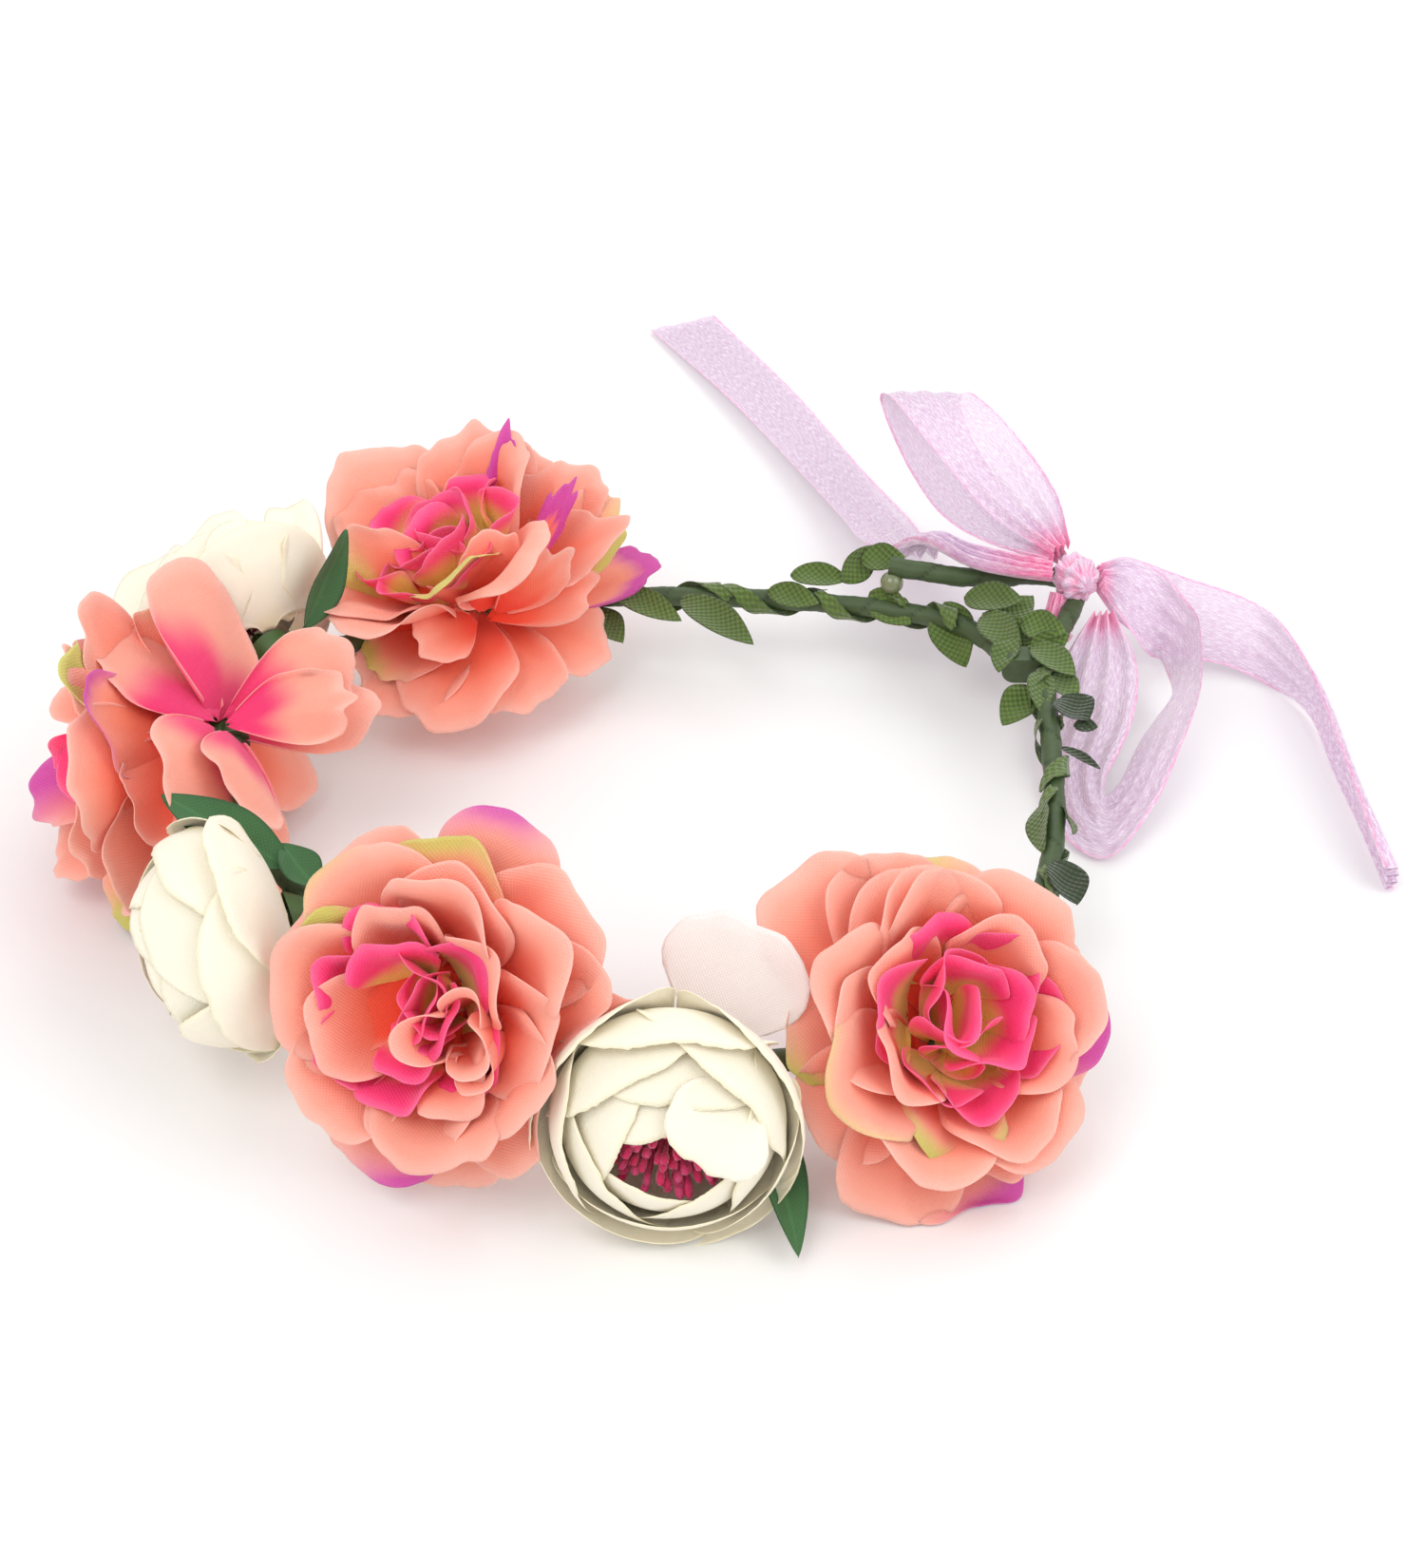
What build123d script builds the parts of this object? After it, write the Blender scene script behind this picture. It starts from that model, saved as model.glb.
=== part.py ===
from build123d import *
import os
from math import cos, pi, radians, sin, sqrt, tan

# Flower crown. Millimetres, +Z up, origin at the middle of the head opening at the band's mean height.
# The crown stands on its lowest petals and on the hanging ribbon, all at FLOOR.

# ---- driving sizes ----
FLOOR = -24.0
WIRE_R = 1.0
TAPE_BORE_R = 1.05
TAPE_R = 2.5
BAND_GAP = 0.05            # room between the taped band and what is bound on it
COLLAR_R = 3.4
COLLAR_LENGTH = 9.0
WRAP_R = 3.2
WRAP_LENGTH = 8.0

PETAL_SHEET = 1.0          # a layer of cloth petals, as thick as its frayed and curled edges
CORAL_R = 39.0
CREAM_R = 26.5
PEG_R = 1.8
PEG_BORE_R = 1.9

RIBBON_SHEET = 0.6         # stands for limp organza, 22 wide
KNOT_CENTRE = (108.4, 83.8, 6.0)
KNOT_R = 5.5

LEAF_SHEET = 0.8

# ---- the wire band: one wire, from its inner end at the tie, round the head, then round the eye ----
BAND_ROUTE = [
    (90.5, 53, 0), (87, 64, -1), (79, 77, -3), (63, 85, -4.5), (38, 90, -5), (10, 92, -5),
    (-18, 91, -5), (-46, 84, -5), (-71, 68, -2), (-88, 46.5, 6), (-95.5, 15, 14), (-92, -16, 15),
    (-80, -42, 12), (-61, -64, 11), (-35, -78.5, 10.5), (-2, -88, 2), (30, -86, -3), (58, -75, -5),
    (81, -50, -4), (93, -20, -2), (96, 14, 0), (97, 48, 0),
    (101.5, 65, 0), (110, 84, 0), (108, 91, 0.8), (99, 91.5, 2), (88, 86.5, 4), (76, 86, 5),
    (62, 90, 5.5),
]
TIE_INDEX = 21             # the eye starts half way along the run after this point


def bend_radii(route):
    """Each bend is as large as its two runs allow."""
    radii = []
    for a, b, c in zip(route, route[1:], route[2:]):
        run_in = Vector(*b) - Vector(*a)
        run_out = Vector(*c) - Vector(*b)
        turn = radians(run_in.get_angle(run_out))
        radii.append(0.45 * min(run_in.length, run_out.length) / tan(turn / 2))
    return radii


def round_tube(points, radii, outer, inner=0.0):
    path = FilletPolyline(*points, radius=radii)
    section = Circle(outer)
    if inner:
        section -= Circle(inner)
    start = Plane(origin=path @ 0, z_dir=path % 0)
    return sweep(start * section, path=path), path


BAND_RADII = bend_radii(BAND_ROUTE)
SPLIT = tuple((Vector(*BAND_ROUTE[TIE_INDEX]) + Vector(*BAND_ROUTE[TIE_INDEX + 1])) * 0.5)
RING_POINTS = BAND_ROUTE[: TIE_INDEX + 1] + [SPLIT]
EYE_POINTS = [SPLIT] + BAND_ROUTE[TIE_INDEX + 1:]


def ring_wire():
    return round_tube(BAND_ROUTE, BAND_RADII, WIRE_R)[0]


def ring_tape():
    return round_tube(RING_POINTS, BAND_RADII[:TIE_INDEX], TAPE_R, TAPE_BORE_R)[0]


def eye_tape():
    return round_tube(EYE_POINTS, BAND_RADII[TIE_INDEX:], TAPE_R, TAPE_BORE_R)[0]


# What is bound on the band is cut back by this, a little fatter than the taped band.
BAND_CUTTER, BAND_PATH = round_tube(BAND_ROUTE, BAND_RADII, TAPE_R + BAND_GAP)
BAND_LENGTH = BAND_PATH.length


def band_at(distance):
    """Point and direction of the band, a distance from its inner end."""
    t = distance / BAND_LENGTH
    return BAND_PATH @ t, BAND_PATH % t


def nearest_band(point):
    """Distance along the band of the place nearest to a point."""
    steps = 600
    spots = [(BAND_PATH @ (i / steps), i) for i in range(steps + 1)]
    best = min(spots, key=lambda s: (s[0] - Vector(*point)).length)
    return best[1] / steps * BAND_LENGTH


def sleeve(distance, outer, bore, length):
    """A short straight collar round the band."""
    point, along = band_at(distance)
    ring = extrude(Circle(outer) - Circle(bore), length / 2, both=True)
    return Plane(origin=point, z_dir=along).location * ring


def binding(distance, outer, length):
    """A collar of tape wound tightly on the band."""
    return largest(sleeve(distance, outer, WIRE_R, length) - BAND_CUTTER)


def largest(shape):
    return max(shape.solids(), key=lambda s: s.volume)


def flower_plane(base, facing, lobe=(0, 0, -1)):
    """A flower's own frame: +Z out of the bloom, +X towards the side that its first petal points to."""
    out = Vector(*facing).normalized()
    side = Vector(*lobe) - out * Vector(*lobe).dot(out)
    return Plane(origin=base, x_dir=side.normalized(), z_dir=out)


def reach_to_floor(base_z, out_z, tip_height):
    """The petal length that makes the lowest petal of a layer just touch the floor."""
    return (base_z + out_z * tip_height - FLOOR) / sqrt(1 - out_z**2)


# ---- coral peonies ----
CORAL_FLOWERS = {
    "coral_back": dict(at=(-38, 87, -4), facing=(-0.28, -0.25, 0.93), lobe=(-0.35, -0.75, -1)),
    "coral_left": dict(at=(-95, 8, 15), facing=(-0.81, 0.12, -0.57)),
    "coral_front_left": dict(at=(-36, -78, 10.5), facing=(-0.36, -0.80, 0.48), reach=40.5),
    "coral_front_right": dict(at=(57, -75, -5), facing=(0.31, -0.65, 0.69)),
}
OUTER_TIP, MIDDLE_TIP, INNER_TIP = 13.3, 21.0, 26.0
DROOP_TIP = -5.0           # the back flower's outer petals bend back down to the floor
OUTER_ROOT, MIDDLE_ROOT, INNER_ROOT, HEART_ROOT = 7.3, 8.8, 10.3, 12.0


def bowl(root, tip, radius, belly):
    """A thin bowl of revolution from the peg out to the petal tips."""
    knee = (0.55 * radius, root + belly * (tip - root))
    low = ThreePointArc((PEG_BORE_R, root), knee, (radius, tip))
    high = ThreePointArc(
        (radius, tip + PETAL_SHEET), (knee[0], knee[1] + PETAL_SHEET), (PEG_BORE_R, root + PETAL_SHEET)
    )
    edges = [
        low,
        Line((radius, tip), (radius, tip + PETAL_SHEET)),
        high,
        Line((PEG_BORE_R, root + PETAL_SHEET), (PEG_BORE_R, root)),
    ]
    return revolve(Plane.XZ * make_face(edges), Axis.Z)


def lobes(count, radius, lobe_share, turn=0.0):
    """The outline of a layer: one round lobe for each petal."""
    lobe_r = lobe_share * radius
    outline = Circle(0.62 * radius)
    for i in range(count):
        a = radians(turn + 360 * i / count)
        outline += Pos((radius - lobe_r) * cos(a), (radius - lobe_r) * sin(a)) * Circle(lobe_r)
    return outline


def petal_layer(root, tip, radius, count, belly=0.28, lobe_share=0.34, turn=0.0):
    low = min(root, tip) - 5
    high = max(root, tip) + 6
    cutter = Pos(0, 0, low) * extrude(lobes(count, radius, lobe_share, turn), high - low)
    return largest(bowl(root, tip, radius, belly) & cutter)


CALYX_FOOT_R = 3.2
CALYX_FOOT_Z = 1.5              # the cup's foot stands on the flower's binding tape


def calyx(cup_r, cup_top, peg_top):
    """The plastic cup under a bloom with the peg that its layers are threaded on."""
    outline = Polyline((0, CALYX_FOOT_Z), (CALYX_FOOT_R, CALYX_FOOT_Z), (cup_r, cup_top), (PEG_R, cup_top),
                       (PEG_R, peg_top), (0, peg_top), (0, CALYX_FOOT_Z))
    return revolve(Plane.XZ * make_face(outline), Axis.Z)


def coral_heart():
    """The curled middle petals: a cup of five lobes round a closed bud."""
    cup = Polyline((PEG_BORE_R, 12), (6, 13.4), (11, 17.2), (15.3, 23.5), (14.4, 30), (13, 30), (13.3, 23.5),
                   (9.5, 18.6), (5, 15.4), (PEG_BORE_R, 14.6), (PEG_BORE_R, 12))
    bud = Polyline((PEG_BORE_R, 14.4), (5, 15.2), (7.4, 21), (5.8, 30), (3.2, 31), (0, 30), (0, 16),
                   (PEG_BORE_R, 16), (PEG_BORE_R, 14.4))
    outline = Circle(9.6)
    for i in range(5):
        a = radians(72 * i)
        outline += Pos(7 * cos(a), 7 * sin(a)) * Circle(8.4)
    cup_solid = revolve(Plane.XZ * make_face(cup), Axis.Z) & extrude(outline, 40)
    return largest(cup_solid + revolve(Plane.XZ * make_face(bud), Axis.Z))


def coral_flower(name, at, facing, lobe=(0, 0, -1), reach=None):
    plane = flower_plane(at, facing, lobe)
    drooping = name == "coral_back"
    tip = DROOP_TIP if drooping else OUTER_TIP
    reach = reach or reach_to_floor(at[2], plane.z_dir.Z, tip)
    belly = 0.12 if drooping else 0.28
    layers = {
        "calyx": calyx(7.5, 7.2, 13.5),
        "outer_petals": petal_layer(OUTER_ROOT, tip, reach, 8, belly),
        "middle_petals": petal_layer(MIDDLE_ROOT, MIDDLE_TIP, 0.79 * CORAL_R, 7, turn=20),
        "inner_petals": petal_layer(INNER_ROOT, INNER_TIP, 0.56 * CORAL_R, 6, turn=35),
        "heart": coral_heart(),
    }
    return {f"{name}_{part}": plane.location * solid for part, solid in layers.items()}


# ---- cream ranunculus ----
CREAM_FLOWERS = {
    "cream_back_left": dict(at=(-88, 46.5, 6), facing=(-0.62, 0.78, 0.08)),
    "cream_left_front": dict(at=(-71, -52.5, 11.5), facing=(-0.94, -0.32, -0.12)),
    "cream_front": dict(at=(5, -89, -0.8), facing=(-0.02, -0.98, 0.18)),
}
CREAM_ROOT, CREAM_BELLY, CREAM_MOUTH_R, CREAM_MOUTH = 6.2, 20.0, 15.0, 35.0
STAMEN_ROOT, STAMEN_DOME, STAMEN_R = 10.3, 21.3, 6.5
FILAMENTS, FILAMENT_R, FILAMENT_TIP = 10, 0.9, 28.0


def cup_side(root, belly_r, belly_z, mouth_r, mouth_z, inward):
    """One face of a rounded cup in section, from the peg to the mouth, moved inward by some depth."""
    floor_z = root + inward
    flat_r = 0.38 * belly_r
    belly = (belly_r - inward, belly_z)
    shoulder = (0.5 * (belly_r + mouth_r) + 2.6 - inward, 0.55 * belly_z + 0.45 * mouth_z + 1.6)
    return [
        Line((PEG_BORE_R, floor_z), (flat_r, floor_z)),
        TangentArc((flat_r, floor_z), belly, tangent=(1, 0)),
        ThreePointArc(belly, shoulder, (mouth_r - inward, mouth_z)),
    ]


def cup_of_revolution(root, belly_r, belly_z, mouth_r, mouth_z, sheet):
    """A rounded cup of wrapped petals, open at its mouth."""
    edges = [
        *cup_side(root, belly_r, belly_z, mouth_r, mouth_z, 0),
        Line((mouth_r, mouth_z), (mouth_r - sheet, mouth_z)),
        *cup_side(root, belly_r, belly_z, mouth_r, mouth_z, sheet),
        Line((PEG_BORE_R, root + sheet), (PEG_BORE_R, root)),
    ]
    return revolve(Plane.XZ * make_face(edges), Axis.Z)


def stamens():
    """A domed centre with a ring of short filaments."""
    standing = (Align.CENTER, Align.CENTER, Align.MIN)
    dome = Pos(0, 0, STAMEN_ROOT) * Cylinder(STAMEN_R, STAMEN_DOME - STAMEN_ROOT, align=standing)
    dome += Pos(0, 0, STAMEN_DOME) * Sphere(STAMEN_R)
    dome -= Cylinder(PEG_BORE_R, 24)
    for i in range(FILAMENTS):
        a = radians(360 * i / FILAMENTS)
        foot = Pos((STAMEN_R - 0.7) * cos(a), (STAMEN_R - 0.7) * sin(a), STAMEN_ROOT)
        dome += foot * Cylinder(FILAMENT_R, FILAMENT_TIP - STAMEN_ROOT, align=standing)
    return largest(dome)


def cream_flower(name, at, facing):
    plane = flower_plane(at, facing)
    layers = {
        "calyx": calyx(6.0, 6.0, 11.5),
        "outer_petals": cup_of_revolution(CREAM_ROOT, CREAM_R, CREAM_BELLY, CREAM_MOUTH_R, CREAM_MOUTH, 1.2),
        "inner_petals": cup_of_revolution(8.6, 0.84 * CREAM_R, 21, 10.5, 32.5, 1.2),
        "stamens": stamens(),
    }
    return {f"{name}_{part}": plane.location * solid for part, solid in layers.items()}


def cream_envelope(at, facing):
    """The room that a cream flower takes up, which the coral petals beside it stay out of."""
    room = -0.5
    mouth_r = CREAM_MOUTH_R - room
    edges = [
        *cup_side(CREAM_ROOT, CREAM_R, CREAM_BELLY, CREAM_MOUTH_R, CREAM_MOUTH, room),
        Line((mouth_r, CREAM_MOUTH), (PEG_BORE_R, CREAM_MOUTH)),
        Line((PEG_BORE_R, CREAM_MOUTH), (PEG_BORE_R, CREAM_ROOT + room)),
    ]
    return flower_plane(at, facing).location * revolve(Plane.XZ * make_face(edges), Axis.Z)


# ---- leaves ----
def leaf_blade(length, width):
    """A flat pointed leaf from the origin along +X."""
    half = width / 2
    near = ThreePointArc((0, 0), (0.42 * length, half), (length, 0))
    far = ThreePointArc((length, 0), (0.42 * length, -half), (0, 0))
    return extrude(make_face([near, far]), LEAF_SHEET / 2, both=True)


def leaf_between(base, tip, width, faces=(0, 0, 1)):
    along = Vector(*tip) - Vector(*base)
    normal = Vector(*faces) - along * (Vector(*faces).dot(along) / along.length**2)
    plane = Plane(origin=base, x_dir=along, z_dir=normal)
    return plane.location * leaf_blade(along.length, width)


def garland_leaf(distance, around, lift, length, width):
    """A leaf that leaves the band at an angle round it and lifts off it by lift degrees."""
    point, along = band_at(distance)
    side = Vector(0, 0, 1).cross(along).normalized()
    up = along.cross(side)
    radial = side * cos(radians(around)) + up * sin(radians(around))
    base = point + radial * (WRAP_R + LEAF_SHEET)
    direction = along * cos(radians(lift)) + radial * sin(radians(lift))
    plane = Plane(origin=base, x_dir=direction, z_dir=radial - direction * radial.dot(direction))
    return plane.location * leaf_blade(length, width)


# distance along the band, angle round it, lift, length, width
BACK_LEAVES = [
    (54, 200, 25, 17, 8), (66, 20, 28, 15, 7), (80, 190, 30, 18, 8.5), (94, 30, 25, 15, 7),
    (108, 205, 28, 18, 8),
]
EYE_LEAVES = [(22, 95, 40, 17, 9), (34, 150, 45, 16, 9), (42, 265, 35, 15, 8)]
RIGHT_LEAVES = [(498, 20, 30, 13, 7), (516, 160, 28, 14, 8), (536, 350, 35, 12, 8), (560, 40, 30, 12, 8)]
WRAP_PLACES = [50, 76, 104, 30, 482, 510, 548, 572]

# base, tip, width, side that the leaf shows
FLOWER_LEAVES = [
    ((-83, 50, 14), (-73, 69, 30), 9, (1, -0.6, 0.4)),
    ((-78, -46, 17), (-104, -31, 25), 13, (0.2, -0.6, 1)),
    ((-71, -52, 17), (-79, -42, 21), 8, (0.3, -0.5, 1)),
    ((-74, -43, 13), (-78, -57, -2), 11, (0.3, -0.7, 0.6)),
    ((23, -88, -9), (31, -124, -21), 10, (0.4, -0.3, 1)),
    ((-8, 88, -9), (2, 80, -16), 9, (0, -0.6, 1)),
]

# the loose petal that stands up inside the crown behind the front cream flower
LOOSE_PETAL_BASE = (13, -83.5, 4)
LOOSE_PETAL_TIP = (24, -73.5, 25)
LOOSE_PETAL_WIDTH = 28.0
LOOSE_PETAL_FACES = (-0.2, -0.75, 0.62)


def loose_petal():
    base, tip = Vector(*LOOSE_PETAL_BASE), Vector(*LOOSE_PETAL_TIP)
    along = tip - base
    faces = Vector(*LOOSE_PETAL_FACES)
    plane = Plane(origin=base, x_dir=along, z_dir=faces - along * (faces.dot(along) / along.length**2))
    round_part = Pos(0.58 * along.length, 0) * Ellipse(0.45 * along.length, LOOSE_PETAL_WIDTH / 2)
    claw = Pos(0.2 * along.length, 0) * Rectangle(0.4 * along.length, 5)
    return plane.location * extrude(round_part + claw, LEAF_SHEET / 2, both=True)


# ---- ribbon: each piece is a strip through pairs of edge points ----
STRAP_EDGES = [
    ((102.3, 86, 9.5), (102, 80, 8.2)), ((92, 87, 12), (92, 80, 9.2)), ((82, 91, 12), (81, 83, 10.4)),
    ((76, 99, 8), (70, 95, 10.4)), ((75.5, 105, -1), (62, 104, 1)),
]
LEFT_TAIL_EDGES = [
    ((75.8, 106, -1.8), (61.8, 105.5, 0)), ((75.5, 126, -12), (56.5, 123, -8)),
    ((73, 149, -19), (53, 143, -14)), ((61.5, 183, -23.4), (42, 175, -18)),
    ((43.8, 226, -23.4), (24, 217, -20)), ((20.8, 273, -23.4), (1.2, 263.5, -23.4)),
]
UPPER_LOOP_EDGES = [
    ((101.8, 88, 7.4), (107, 91, 7.6)), ((88, 100.5, 5), (104, 107.5, 5)), ((78, 120, 1), (97.5, 128, 1)),
    ((71, 142, 1), (91, 150, 1)), ((65.5, 160, 6), (87, 161.5, 6)), ((63.7, 164, 12), (85.5, 162.5, 12)),
    ((66.5, 151, 18), (88, 154, 18)), ((76, 125.5, 17), (96, 134.5, 19)), ((89, 102, 12.6), (105, 110, 15.5)),
    ((102.6, 89, 10.2), (107.4, 91.6, 11)),
]
LOWER_LOOP_EDGES = [
    ((114.6, 88, 7), (114.8, 81, 4.4)), ((122.5, 93, 6), (119.5, 75.5, 0)), ((131, 88, 4.5), (126, 71, -8)),
    ((136, 71, 6), (131, 75, -14)), ((137.5, 63, 3), (132.5, 65, -18)), ((136, 49, -3), (124, 53, -21)),
    ((130, 33.5, -9), (116, 36.5, -23.2)), ((122, 19, -17), (112.5, 31, -23.2)),
    ((110, 7, -22.6), (111.5, 29, -19)), ((100, 17, -23), (112, 31.5, -16.5)),
    ((97.5, 39, -20), (115.5, 38, -14.5)), ((100.5, 50, -15), (120, 48, -12)),
    ((102, 60, -10), (122.5, 59, -9)), ((106.5, 70, -6.4), (122, 68, -5)),
    ((112.6, 77.6, -0.6), (118, 78, -0.4)),
]
RIGHT_TAIL_EDGES = [
    ((113.6, 90.4, 5), (114.4, 86, 1)), ((124.5, 100, 1), (121.5, 84, -8)),
    ((139.5, 104, -7), (135, 86, -18.5)), ((155, 104, -13), (150, 84, -21.5)),
    ((163.5, 93, -13), (160.5, 77, -23.2)), ((166, 66, -7), (168.5, 64, -23.2)),
    ((168.5, 39, -8), (171, 39, -23.2)), ((170.5, 15, -10), (173.5, 15, -23.2)),
    ((174, -4, -16), (175.5, -4, -23.2)),
]
THROAT_EDGES = [((103.2, 84.4, 1), (105.2, 80, 3.4)), ((101.2, 79, -3), (103.6, 74, -2.6)),
                ((104.2, 75.8, -5), (106.4, 71.2, -4.6))]


def strip_section(a, b, ahead, sheet):
    """The four corners of the strip's section between two edge points."""
    across = b - a
    lift = across.cross(ahead).normalized() * (sheet / 2)
    return [a - lift, b - lift, b + lift, a + lift]


def ribbon(edge_pairs, sheet=RIBBON_SHEET):
    """A thin strip through pairs of edge points, closed from ruled faces between its sections."""
    pairs = [(Vector(*a), Vector(*b)) for a, b in edge_pairs]
    centres = [(a + b) * 0.5 for a, b in pairs]
    last = len(pairs) - 1
    corners = [
        strip_section(a, b, centres[min(i + 1, last)] - centres[max(i - 1, 0)], sheet)
        for i, (a, b) in enumerate(pairs)
    ]
    faces = [Face(Wire.make_polygon(corners[0])), Face(Wire.make_polygon(corners[last]))]
    for near, far in zip(corners, corners[1:]):
        for k in range(4):
            m = (k + 1) % 4
            faces.append(Face.make_surface_from_curves(Edge.make_line(near[k], near[m]),
                                                       Edge.make_line(far[k], far[m])))
    strip = Solid(Shell(faces))
    return strip if strip.volume > 0 else Solid(Shell([-face for face in faces]))


KNOT_ON_BAND = (107.3, 78, 0)   # where the knot grips the eye's rim
KNOT_SLEEVE_R = 4.2
KNOT_SLEEVE_BORE = 1.0          # cut open to the tape by BAND_CUTTER
KNOT_SLEEVE_LENGTH = 8


def ribbon_knot():
    """The tied knot: a ball of gathered ribbon on a short sleeve round the eye's rim."""
    ball = Pos(*KNOT_CENTRE) * Sphere(KNOT_R)
    grip = sleeve(nearest_band(KNOT_ON_BAND), KNOT_SLEEVE_R, KNOT_SLEEVE_BORE, KNOT_SLEEVE_LENGTH)
    return largest((ball + grip) - BAND_CUTTER)


TIE_INNER = (90.6, 54.5, 0)     # where the two runs of wire lie side by side under the binding
TIE_OUTER = (98.2, 54.5, 0)
TIE_HALF_WIDTH = 3.0            # along the wire, each side of the middle


def tie_binding():
    """Tape that binds the wire's inner end to the foot of the eye."""
    inner, outer = Vector(*TIE_INNER), Vector(*TIE_OUTER)
    middle = (inner + outer) * 0.5
    block = SlotOverall((outer - inner).length + 2 * COLLAR_R, 2 * COLLAR_R)
    plane = Plane(origin=middle, x_dir=outer - inner, z_dir=(0, 1, 0))
    return largest((plane.location * extrude(block, TIE_HALF_WIDTH, both=True)) - BAND_CUTTER)


GLUE_DROP_AT = (62.5, 88.2, 1.6)
GLUE_DROP_R = 3.0


def glue_blob():
    """The drop of clear glue that holds the wire's free end over the band."""
    return largest(Pos(*GLUE_DROP_AT) * Sphere(GLUE_DROP_R) - BAND_CUTTER)


def write_nodes():
    nodes = {"ring_wire": ring_wire(), "ring_tape": ring_tape(), "eye_tape": eye_tape()}
    all_flowers = {**CORAL_FLOWERS, **CREAM_FLOWERS}

    creams = {}
    for name, spec in CREAM_FLOWERS.items():
        creams.update(cream_flower(name, **spec))
    envelopes = [cream_envelope(**spec) for spec in CREAM_FLOWERS.values()]
    corals = {}
    for name, spec in CORAL_FLOWERS.items():
        corals.update(coral_flower(name, **spec))
    for name, solid in corals.items():
        if not name.endswith("calyx"):
            for room in [*envelopes, BAND_CUTTER]:
                solid = largest(solid - room)
            corals[name] = solid

    places = {name: nearest_band(spec["at"]) for name, spec in all_flowers.items()}
    blooms = {**corals, **creams}
    for name, place in places.items():
        saddle = sleeve(place, COLLAR_R, 0.01, COLLAR_LENGTH + 4)
        blooms[f"{name}_calyx"] = largest(blooms[f"{name}_calyx"] - saddle - BAND_CUTTER)
    for name in CREAM_FLOWERS:
        blooms[f"{name}_outer_petals"] = largest(blooms[f"{name}_outer_petals"] - BAND_CUTTER)
    nodes.update(blooms)
    nodes["stem_binding_tape"] = Compound(
        children=[binding(place, COLLAR_R, COLLAR_LENGTH) for place in places.values()])

    nodes["tie_binding"] = tie_binding()
    nodes["glue_blob"] = glue_blob()
    nodes["garland_wraps"] = Compound(
        children=[binding(d, WRAP_R, WRAP_LENGTH) for d in WRAP_PLACES])
    for name, leaves in (("garland_leaves_back", BACK_LEAVES), ("garland_leaves_eye", EYE_LEAVES),
                         ("garland_leaves_right", RIGHT_LEAVES)):
        nodes[name] = Compound(children=[largest(garland_leaf(*leaf) - BAND_CUTTER) for leaf in leaves])

    petals = [s for n, s in blooms.items()]
    flower_leaves = []
    for spec in FLOWER_LEAVES:
        blade = leaf_between(*spec) - BAND_CUTTER
        for solid in petals:
            blade = largest(blade - solid)
        flower_leaves.append(blade)
    nodes["flower_leaves"] = Compound(children=flower_leaves)
    petal = loose_petal() - BAND_CUTTER
    for solid in petals:
        petal = largest(petal - solid)
    nodes["loose_petal"] = petal

    nodes["ribbon_knot"] = ribbon_knot()
    for name, edges in (("ribbon_strap", STRAP_EDGES), ("ribbon_throat", THROAT_EDGES)):
        nodes[name] = largest(ribbon(edges) - nodes["ribbon_knot"] - BAND_CUTTER)
    nodes["bow_loop_upper"] = ribbon(UPPER_LOOP_EDGES)
    nodes["bow_loop_lower"] = ribbon(LOWER_LOOP_EDGES)
    nodes["ribbon_tail_left"] = ribbon(LEFT_TAIL_EDGES)
    nodes["ribbon_tail_right"] = ribbon(RIGHT_TAIL_EDGES)

    for name, shape in nodes.items():
        export_step(shape, f"parts/{name}.step")
    print("band length", round(BAND_LENGTH, 1), "bend radii", [round(r, 1) for r in BAND_RADII])
    print("tube volume over section times length",
          round(BAND_CUTTER.volume / (pi * (TAPE_R + BAND_GAP) ** 2 * BAND_LENGTH), 4))


os.makedirs("parts", exist_ok=True)
write_nodes()
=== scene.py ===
import math

import bpy
import numpy as np
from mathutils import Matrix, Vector


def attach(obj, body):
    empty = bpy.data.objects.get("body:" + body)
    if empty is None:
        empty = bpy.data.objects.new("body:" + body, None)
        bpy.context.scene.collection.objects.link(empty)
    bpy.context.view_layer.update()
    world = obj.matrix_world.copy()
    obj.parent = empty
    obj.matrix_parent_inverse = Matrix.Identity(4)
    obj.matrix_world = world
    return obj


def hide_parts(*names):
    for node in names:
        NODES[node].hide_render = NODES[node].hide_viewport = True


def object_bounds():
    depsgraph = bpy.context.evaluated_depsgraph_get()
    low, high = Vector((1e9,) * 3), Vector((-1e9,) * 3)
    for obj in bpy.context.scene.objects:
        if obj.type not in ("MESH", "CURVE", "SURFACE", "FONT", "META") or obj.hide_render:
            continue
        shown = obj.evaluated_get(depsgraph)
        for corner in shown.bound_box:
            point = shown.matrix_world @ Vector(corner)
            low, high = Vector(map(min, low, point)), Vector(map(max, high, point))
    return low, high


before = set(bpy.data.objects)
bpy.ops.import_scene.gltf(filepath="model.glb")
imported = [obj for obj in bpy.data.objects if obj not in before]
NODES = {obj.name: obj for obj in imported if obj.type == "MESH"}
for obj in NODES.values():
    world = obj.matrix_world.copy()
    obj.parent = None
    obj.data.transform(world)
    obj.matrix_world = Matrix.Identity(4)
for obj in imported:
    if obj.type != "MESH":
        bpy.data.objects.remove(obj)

# Flower crown: cloth peonies and ranunculus on a taped wire band, with a leaf garland and an organza bow.
# The tables are in millimetres, in the frame of the CAD model. make_piece() turns them into metres.
CAD_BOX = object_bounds()
MM = 0.001
FLOOR = -24.0
RANDOM = np.random.default_rng(11)

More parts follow.
